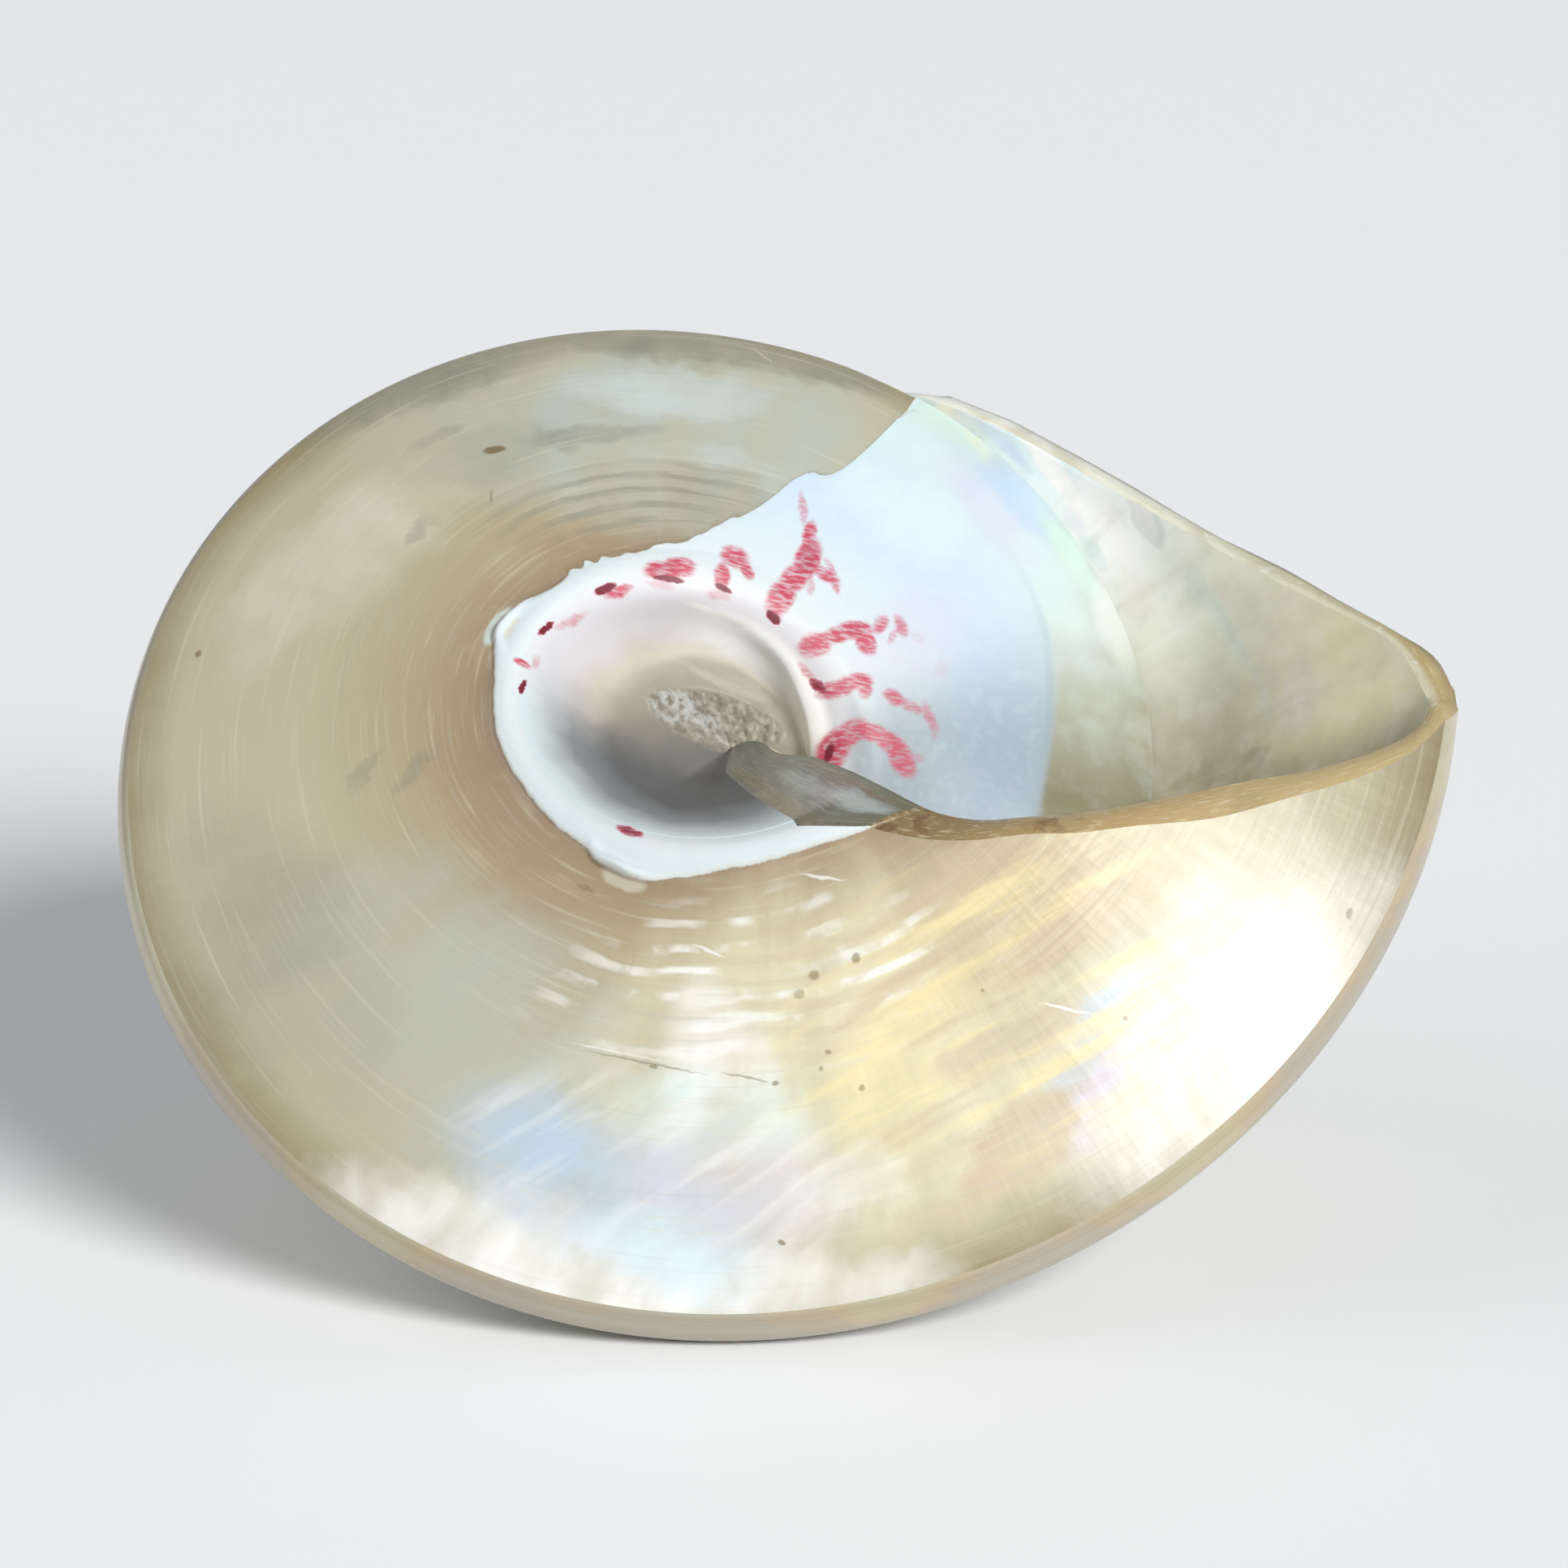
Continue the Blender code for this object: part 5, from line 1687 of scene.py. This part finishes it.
@dataclass
class Mouth:
    """The cut face of the lip, the columella's fold, and the lining of the whorl behind them."""

    spire: Spire
    base: Base
    lining_finish: LiningFinish = LiningFinish()
    lip_finish: LipFinish = LipFinish()
    fold_finish: FoldFinish = FoldFinish()
    cavity_end: float = -517.5
    side_wall: float = 0.047
    base_wall: float = 0.043
    lip_side_wall: float = 0.022
    lip_base_wall: float = 0.036
    side_stations: Sequence[float] = (0.18, 0.4, 0.62, 0.82)
    base_stations: Sequence[float] = (0.82, 0.73, 0.64, 0.56, 0.5)
    lip_first: float = 0.935
    deep_first: float = 0.905
    fold_start: float = 0.45
    lip_corner: Sequence[tuple[float, float, float]] = ((1.0, 0.955, -0.004), (0.0, 0.957, 0.02))
    deep_corner: Table = ((0.935, 0.004), (0.932, 0.022))
    fine_span: float = 60.0
    rows_skipped: int = 3
    fold_edge: Sequence[tuple[float, float, float]] = ((0.0207, -43.7, 0.0696), (0.0144, -40.4, 0.0647),
                                                       (0.0094, -34.4, 0.0599), (0.0051, -20.5, 0.0542))
    columella: Sequence[tuple[float, float]] = ((0.42, 1.25), (0.365, 1.15), (0.31, 1.02), (0.28, 0.92))
    suture_row: float = -427.5
    base_row: float = -100.0
    fold_columns: int = 64
    fold_rows: int = 15
    face_columns: int = 9
    face_crown: float = 0.00025

    def side_section(self, share: float, depth: float) -> tuple[float, float]:
        """Radius and height, in keel radii, of a place a depth inside the side wall.

        Args:
            share: Place from the suture, 0, to the keel, 1.
            depth: How far inside the wall, in keel radii.

        Returns:
            Radius and height.
        """
        start = 1.0 / GROWTH.whorl_ratio
        radius = start + (1.0 - start) * share - depth * math.cos(GROWTH.half_cone)
        height = (start + (1.0 - start) * share) * GROWTH.keel_depth + depth * math.sin(GROWTH.half_cone)
        return radius, height

    def lip_net(self) -> Array:
        """The cavity's edge at the lip: growth angle, radius and height of its stations.

        Returns:
            One row for each station.
        """
        ratio = GROWTH.whorl_ratio
        net = [(GROWTH.suture_end, GROWTH.base_edge / ratio, GROWTH.edge_height / ratio)]
        for share in self.side_stations:
            angle = float(flow(GROWTH.side_lip, share)) - 1.0
            net.append((angle, *self.side_section(share, self.lip_side_wall)))
        net += [(angle, radius, GROWTH.keel_depth + rise) for angle, radius, rise in self.lip_corner]
        for radius in (self.lip_first, *self.base_stations, self.fold_start):
            angle = float(flow(GROWTH.inner_lip, radius))
            height = float(GROWTH.base_height(radius, angle)) - self.lip_base_wall
            net.append((angle, radius, height))
        for reach, azimuth, height in self.fold_edge:
            angle = azimuth - GROWTH.axis_offset
            size = float(GROWTH.size(angle))
            net.append((angle, reach / size, height / size))
        x, y, z = GROWTH.pit
        angle = math.degrees(math.atan2(y, x)) - GROWTH.axis_offset
        size = float(GROWTH.size(angle))
        net.append((angle, math.hypot(x, y) / size, z / size))
        return np.array(net)

    def deep_net(self) -> Array:
        """Section of the cavity away from the lip: radius and height of the same stations.

        Returns:
            One row for each station.
        """
        start = GROWTH.whorl_ratio
        suture = self.base.inner_suture
        net = [(suture / start, float(GROWTH.base_height(suture, self.suture_row)) / start)]
        net += [self.side_section(share, self.side_wall) for share in self.side_stations]
        net += [(radius, GROWTH.keel_depth + rise) for radius, rise in self.deep_corner]
        walls = [(radius, self.base_wall) for radius in (self.deep_first, *self.base_stations)]
        for radius, wall in (*walls, (self.fold_start, self.base_wall * 1.15)):
            net.append((radius, float(GROWTH.base_height(radius, self.base_row)) - wall))
        net += list(self.columella)
        foot = self.base.columella_foot
        net.append((foot / start, float(GROWTH.base_height(foot, self.suture_row)) / start))
        return np.array(net)

    def columns(self) -> Array:
        """Station numbers of the lining's columns, one for each column of the outer walls, then the fold's.

        Returns:
            The station numbers.
        """
        side_at = np.interp(self.spire.shares, (0.0, *self.side_stations, 0.93, 1.0),
                            (0.0, 1.0, 2.0, 3.0, 4.0, 4.6, 5.2))
        band_at = np.linspace(5.0, 6.0, len(self.spire.sharp_keel))
        radius = self.base.columns(np.array([GROWTH.last_even_row]), np.array([1.0]))[0]
        stations = (GROWTH.base_edge, self.lip_first, *self.base_stations, self.fold_start,
                    self.base.lip_radius)
        base_at = np.interp(-radius[0, 1:], -np.array(stations), np.arange(6.0, 6.0 + len(stations)))
        fold_at = np.linspace(base_at[-1], LAST_STATION, self.fold_columns + 1)[1:]
        return np.concatenate([side_at, band_at, base_at, fold_at])

    def lining(self) -> tuple[Array, Array, Array]:
        """The cavity wall: points, angles and radii, rows from the closed end to the lip.

        Returns:
            The three, each rows by columns.
        """
        at = self.columns()
        lip, deep = self.lip_net(), self.deep_net()
        last = GROWTH.last_even_row
        lines = []
        even, close = ROWS.even(self.cavity_end), last - self.fine_span
        even = np.concatenate([even[even < close - 1e-6][::self.rows_skipped], even[even >= close]])
        for angle in even:
            lines.append(np.column_stack([np.full(len(deep), angle), deep]))
        start = np.column_stack([np.full(len(deep), last), deep])
        for share in ROWS.shares():
            lines.append(start + (lip - start) * share)
        read = through(np.array(lines), at)
        points = GROWTH.place(read[..., 0], read[..., 1], read[..., 2])
        before = np.concatenate([even, last + (GROWTH.suture_end - last) * ROWS.shares()]) - 360.0
        glaze = self.base.glaze_rise * self.base.under_mouth(before)
        suture = GROWTH.on_base(before, self.base.first_radius(before), glaze)
        reach = 1.0 - ease(0.0, 1.2, at)[None, :, None]
        points = points + (suture - points[:, 0])[:, None, :] * reach
        return points, read[..., 0], read[..., 1]

    def outer_chain(self) -> Array:
        """The lip's outer edge, from the suture over the keel and along the base.

        Returns:
            Points in the growth frame.
        """
        side = self.spire.surface()[0][-1]
        base = self.base.surface()[0][-1]
        return np.concatenate([side, base[1:]])

    def fold_outer_chain(self) -> Array:
        """The fold's lower edge: back along the glaze, then down the funnel's first row.

        Returns:
            Points in the growth frame.
        """
        last_column = self.base.surface()[0][-ROWS.lip_rows - 1:, -1][::-1]
        row, _ = self.base.funnel(np.array([GROWTH.last_even_row]))
        chain = np.concatenate([last_column, row[0, 1:]])
        return evenly(chain, self.fold_columns + 1)

    def build(self) -> bpy.types.Object:
        """Builds the lining and the faces that join it to the outer skin.

        Returns:
            The piece.
        """
        points, angle, radius = self.lining()
        inner = points[-1]
        outer = self.outer_chain()
        fold_outer = self.fold_outer_chain()
        station = self.columns() / LAST_STATION
        inside = marks(angle, radius, 0.0, points, (1.0, 1.0, station[None, :]))
        lining = lay_grid("shell_mouth", points, inside, self.lining_finish.material(), flip=True)
        rim = len(outer)
        across = np.linspace(0.0, 1.0, self.face_columns)[None, :, None]
        face = outer[:, None] + (inner[:rim, None] - outer[:, None]) * across
        face = self.rounded(face, outer, inner[:rim])
        on_lip = marks(angle[-1, :rim, None], radius[-1, :rim, None], 0.0, face,
                       (across[..., 0], 1.0, station[:rim, None]))
        lip = lay_grid("lip_face", face, on_lip, self.lip_finish.material())
        fold_inner = inner[rim - 1:]
        share = np.linspace(0.0, 1.0, self.fold_rows)[None, :, None]
        fold = fold_outer[:, None] + (fold_inner[:, None] - fold_outer[:, None]) * share
        on_fold = marks(angle[-1, rim - 1:, None], radius[-1, rim - 1:, None], 0.0, fold,
                        (share[..., 0], 1.0, station[rim - 1:, None]))
        fold_face = lay_grid("fold_face", fold, on_fold, self.fold_finish.material())
        weld(lining, lip, fold_face)
        smooth(lining, 38.0)
        return lining

    def rounded(self, face: Array, outer: Array, inner: Array) -> Array:
        """Crowns the lip's face a little between its two edges.

        Args:
            face: The flat face, rows by columns.
            outer: Its outer edge.
            inner: Its inner edge.

        Returns:
            The crowned face.
        """
        across = np.linspace(0.0, 1.0, face.shape[1])[None, :, None]
        width = np.linalg.norm(inner - outer, axis=-1)[:, None, None]
        along = np.gradient((outer + inner) / 2, axis=0)
        normal = np.cross(along, inner - outer)
        normal /= np.maximum(np.linalg.norm(normal, axis=-1, keepdims=True), 1e-9)
        return face - normal[:, None] * np.minimum(width * 0.18, self.face_crown) * 4 * across * (1 - across)


# ---- Laying down, stage and light ----


def lay_down(pieces: Sequence[bpy.types.Object]) -> None:
    """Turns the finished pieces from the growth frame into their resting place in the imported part's box.

    Args:
        pieces: The finished pieces.
    """
    turn = GROWTH.resting_turn()
    for piece in pieces:
        piece.data.transform(turn)
    low = Vector(np.min([np.min([v.co for v in piece.data.vertices], axis=0) for piece in pieces], axis=0))
    high = Vector(np.max([np.max([v.co for v in piece.data.vertices], axis=0) for piece in pieces], axis=0))
    cad_low, cad_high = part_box(NODE)
    shift = (cad_low + cad_high) / 2 - (low + high) / 2
    shift.z = cad_low.z - low.z
    for piece in pieces:
        piece.data.transform(Matrix.Translation(shift))
        piece.data.update()


@dataclass
class Studio:
    """The pale floor, the camera and the soft lamps."""

    floor: FloorFinish = FloorFinish()
    floor_size: float = 12.0
    eye: tuple[float, float, float] = (-0.0304, -0.3403, 0.1227)
    pitch: float = -14.94
    yaw: float = -5.21
    roll: float = -1.43
    lens: float = 104.5
    key_strength: float = 3.1
    key_spread: float = 24.0
    key_elevation: float = 30.0
    key_side: float = 33.0
    fill_strength: float = 0.6
    fill_spread: float = 60.0
    fill_elevation: float = 28.0
    fill_side: float = -95.0
    room_strength: float = 0.3
    lamp_colour: tuple[float, float, float] = (1.0, 0.985, 0.96)
    room_colour: Colour = (0.93, 0.96, 1.0, 1.0)

    def build_floor(self) -> bpy.types.Object:
        """Lays the pale floor.

        Returns:
            The floor.
        """
        deselect()
        bpy.ops.mesh.primitive_plane_add(size=self.floor_size, location=(0.0, 0.0, 0.0))
        floor = bpy.context.object
        floor.name = "floor"
        floor.data.materials.append(self.floor.material())
        return floor

    def build_camera(self) -> bpy.types.Object:
        """Sets the camera about a third of a metre in front of the shell, a little above it.

        Returns:
            The camera.
        """
        data = bpy.data.cameras.new("camera")
        data.sensor_width = 36.0
        data.lens = self.lens
        camera = bpy.data.objects.new("camera", data)
        bpy.context.scene.collection.objects.link(camera)
        pitch, yaw, roll = (math.radians(x) for x in (self.pitch, self.yaw, self.roll))
        turned = Matrix.Rotation(yaw, 4, "Z") @ Matrix.Rotation(math.pi / 2 + pitch, 4, "X")
        camera.matrix_world = Matrix.Translation(self.eye) @ turned @ Matrix.Rotation(roll, 4, "Z")
        bpy.context.scene.camera = camera
        return camera

    def build_lamps(self) -> None:
        """Sets the soft key lamp at the front right, a wide weak one on the left, and the room's light."""
        lamps = (("key", self.key_strength, self.key_spread, self.key_elevation, self.key_side),
                 ("fill", self.fill_strength, self.fill_spread, self.fill_elevation, self.fill_side))
        for name, strength, spread, elevation, side in lamps:
            data = bpy.data.lights.new(name, "SUN")
            data.energy = strength
            data.angle = math.radians(spread)
            data.color = self.lamp_colour
            lamp = bpy.data.objects.new(name, data)
            lamp.rotation_euler = (math.radians(90.0 - elevation), 0.0, math.radians(side))
            bpy.context.scene.collection.objects.link(lamp)
        world = bpy.data.worlds.new("room")
        bpy.context.scene.world = world
        world.use_nodes = True
        background = world.node_tree.nodes["Background"]
        background.inputs["Color"].default_value = self.room_colour
        background.inputs["Strength"].default_value = self.room_strength

    def build(self) -> None:
        """Builds the stage round the shell."""
        self.build_floor()
        self.build_camera()
        self.build_lamps()
        bpy.context.scene.view_settings.view_transform = "Standard"


def main() -> None:
    """Builds the shell's pieces in order, lays them down and sets the stage."""
    logging.basicConfig(level=logging.INFO, format="%(name)s: %(message)s")
    deselect()
    spire = Spire()
    base = Base()
    mouth = Mouth(spire, base)
    pieces = [spire.build(), base.build(), mouth.build()]
    lay_down(pieces)
    for piece in pieces:
        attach(piece, BODY)
        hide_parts(NODE)
        LOG.info("%s: %d faces", piece.name, len(piece.data.polygons))
    Studio().build()


if __name__ == "__main__":
    main()
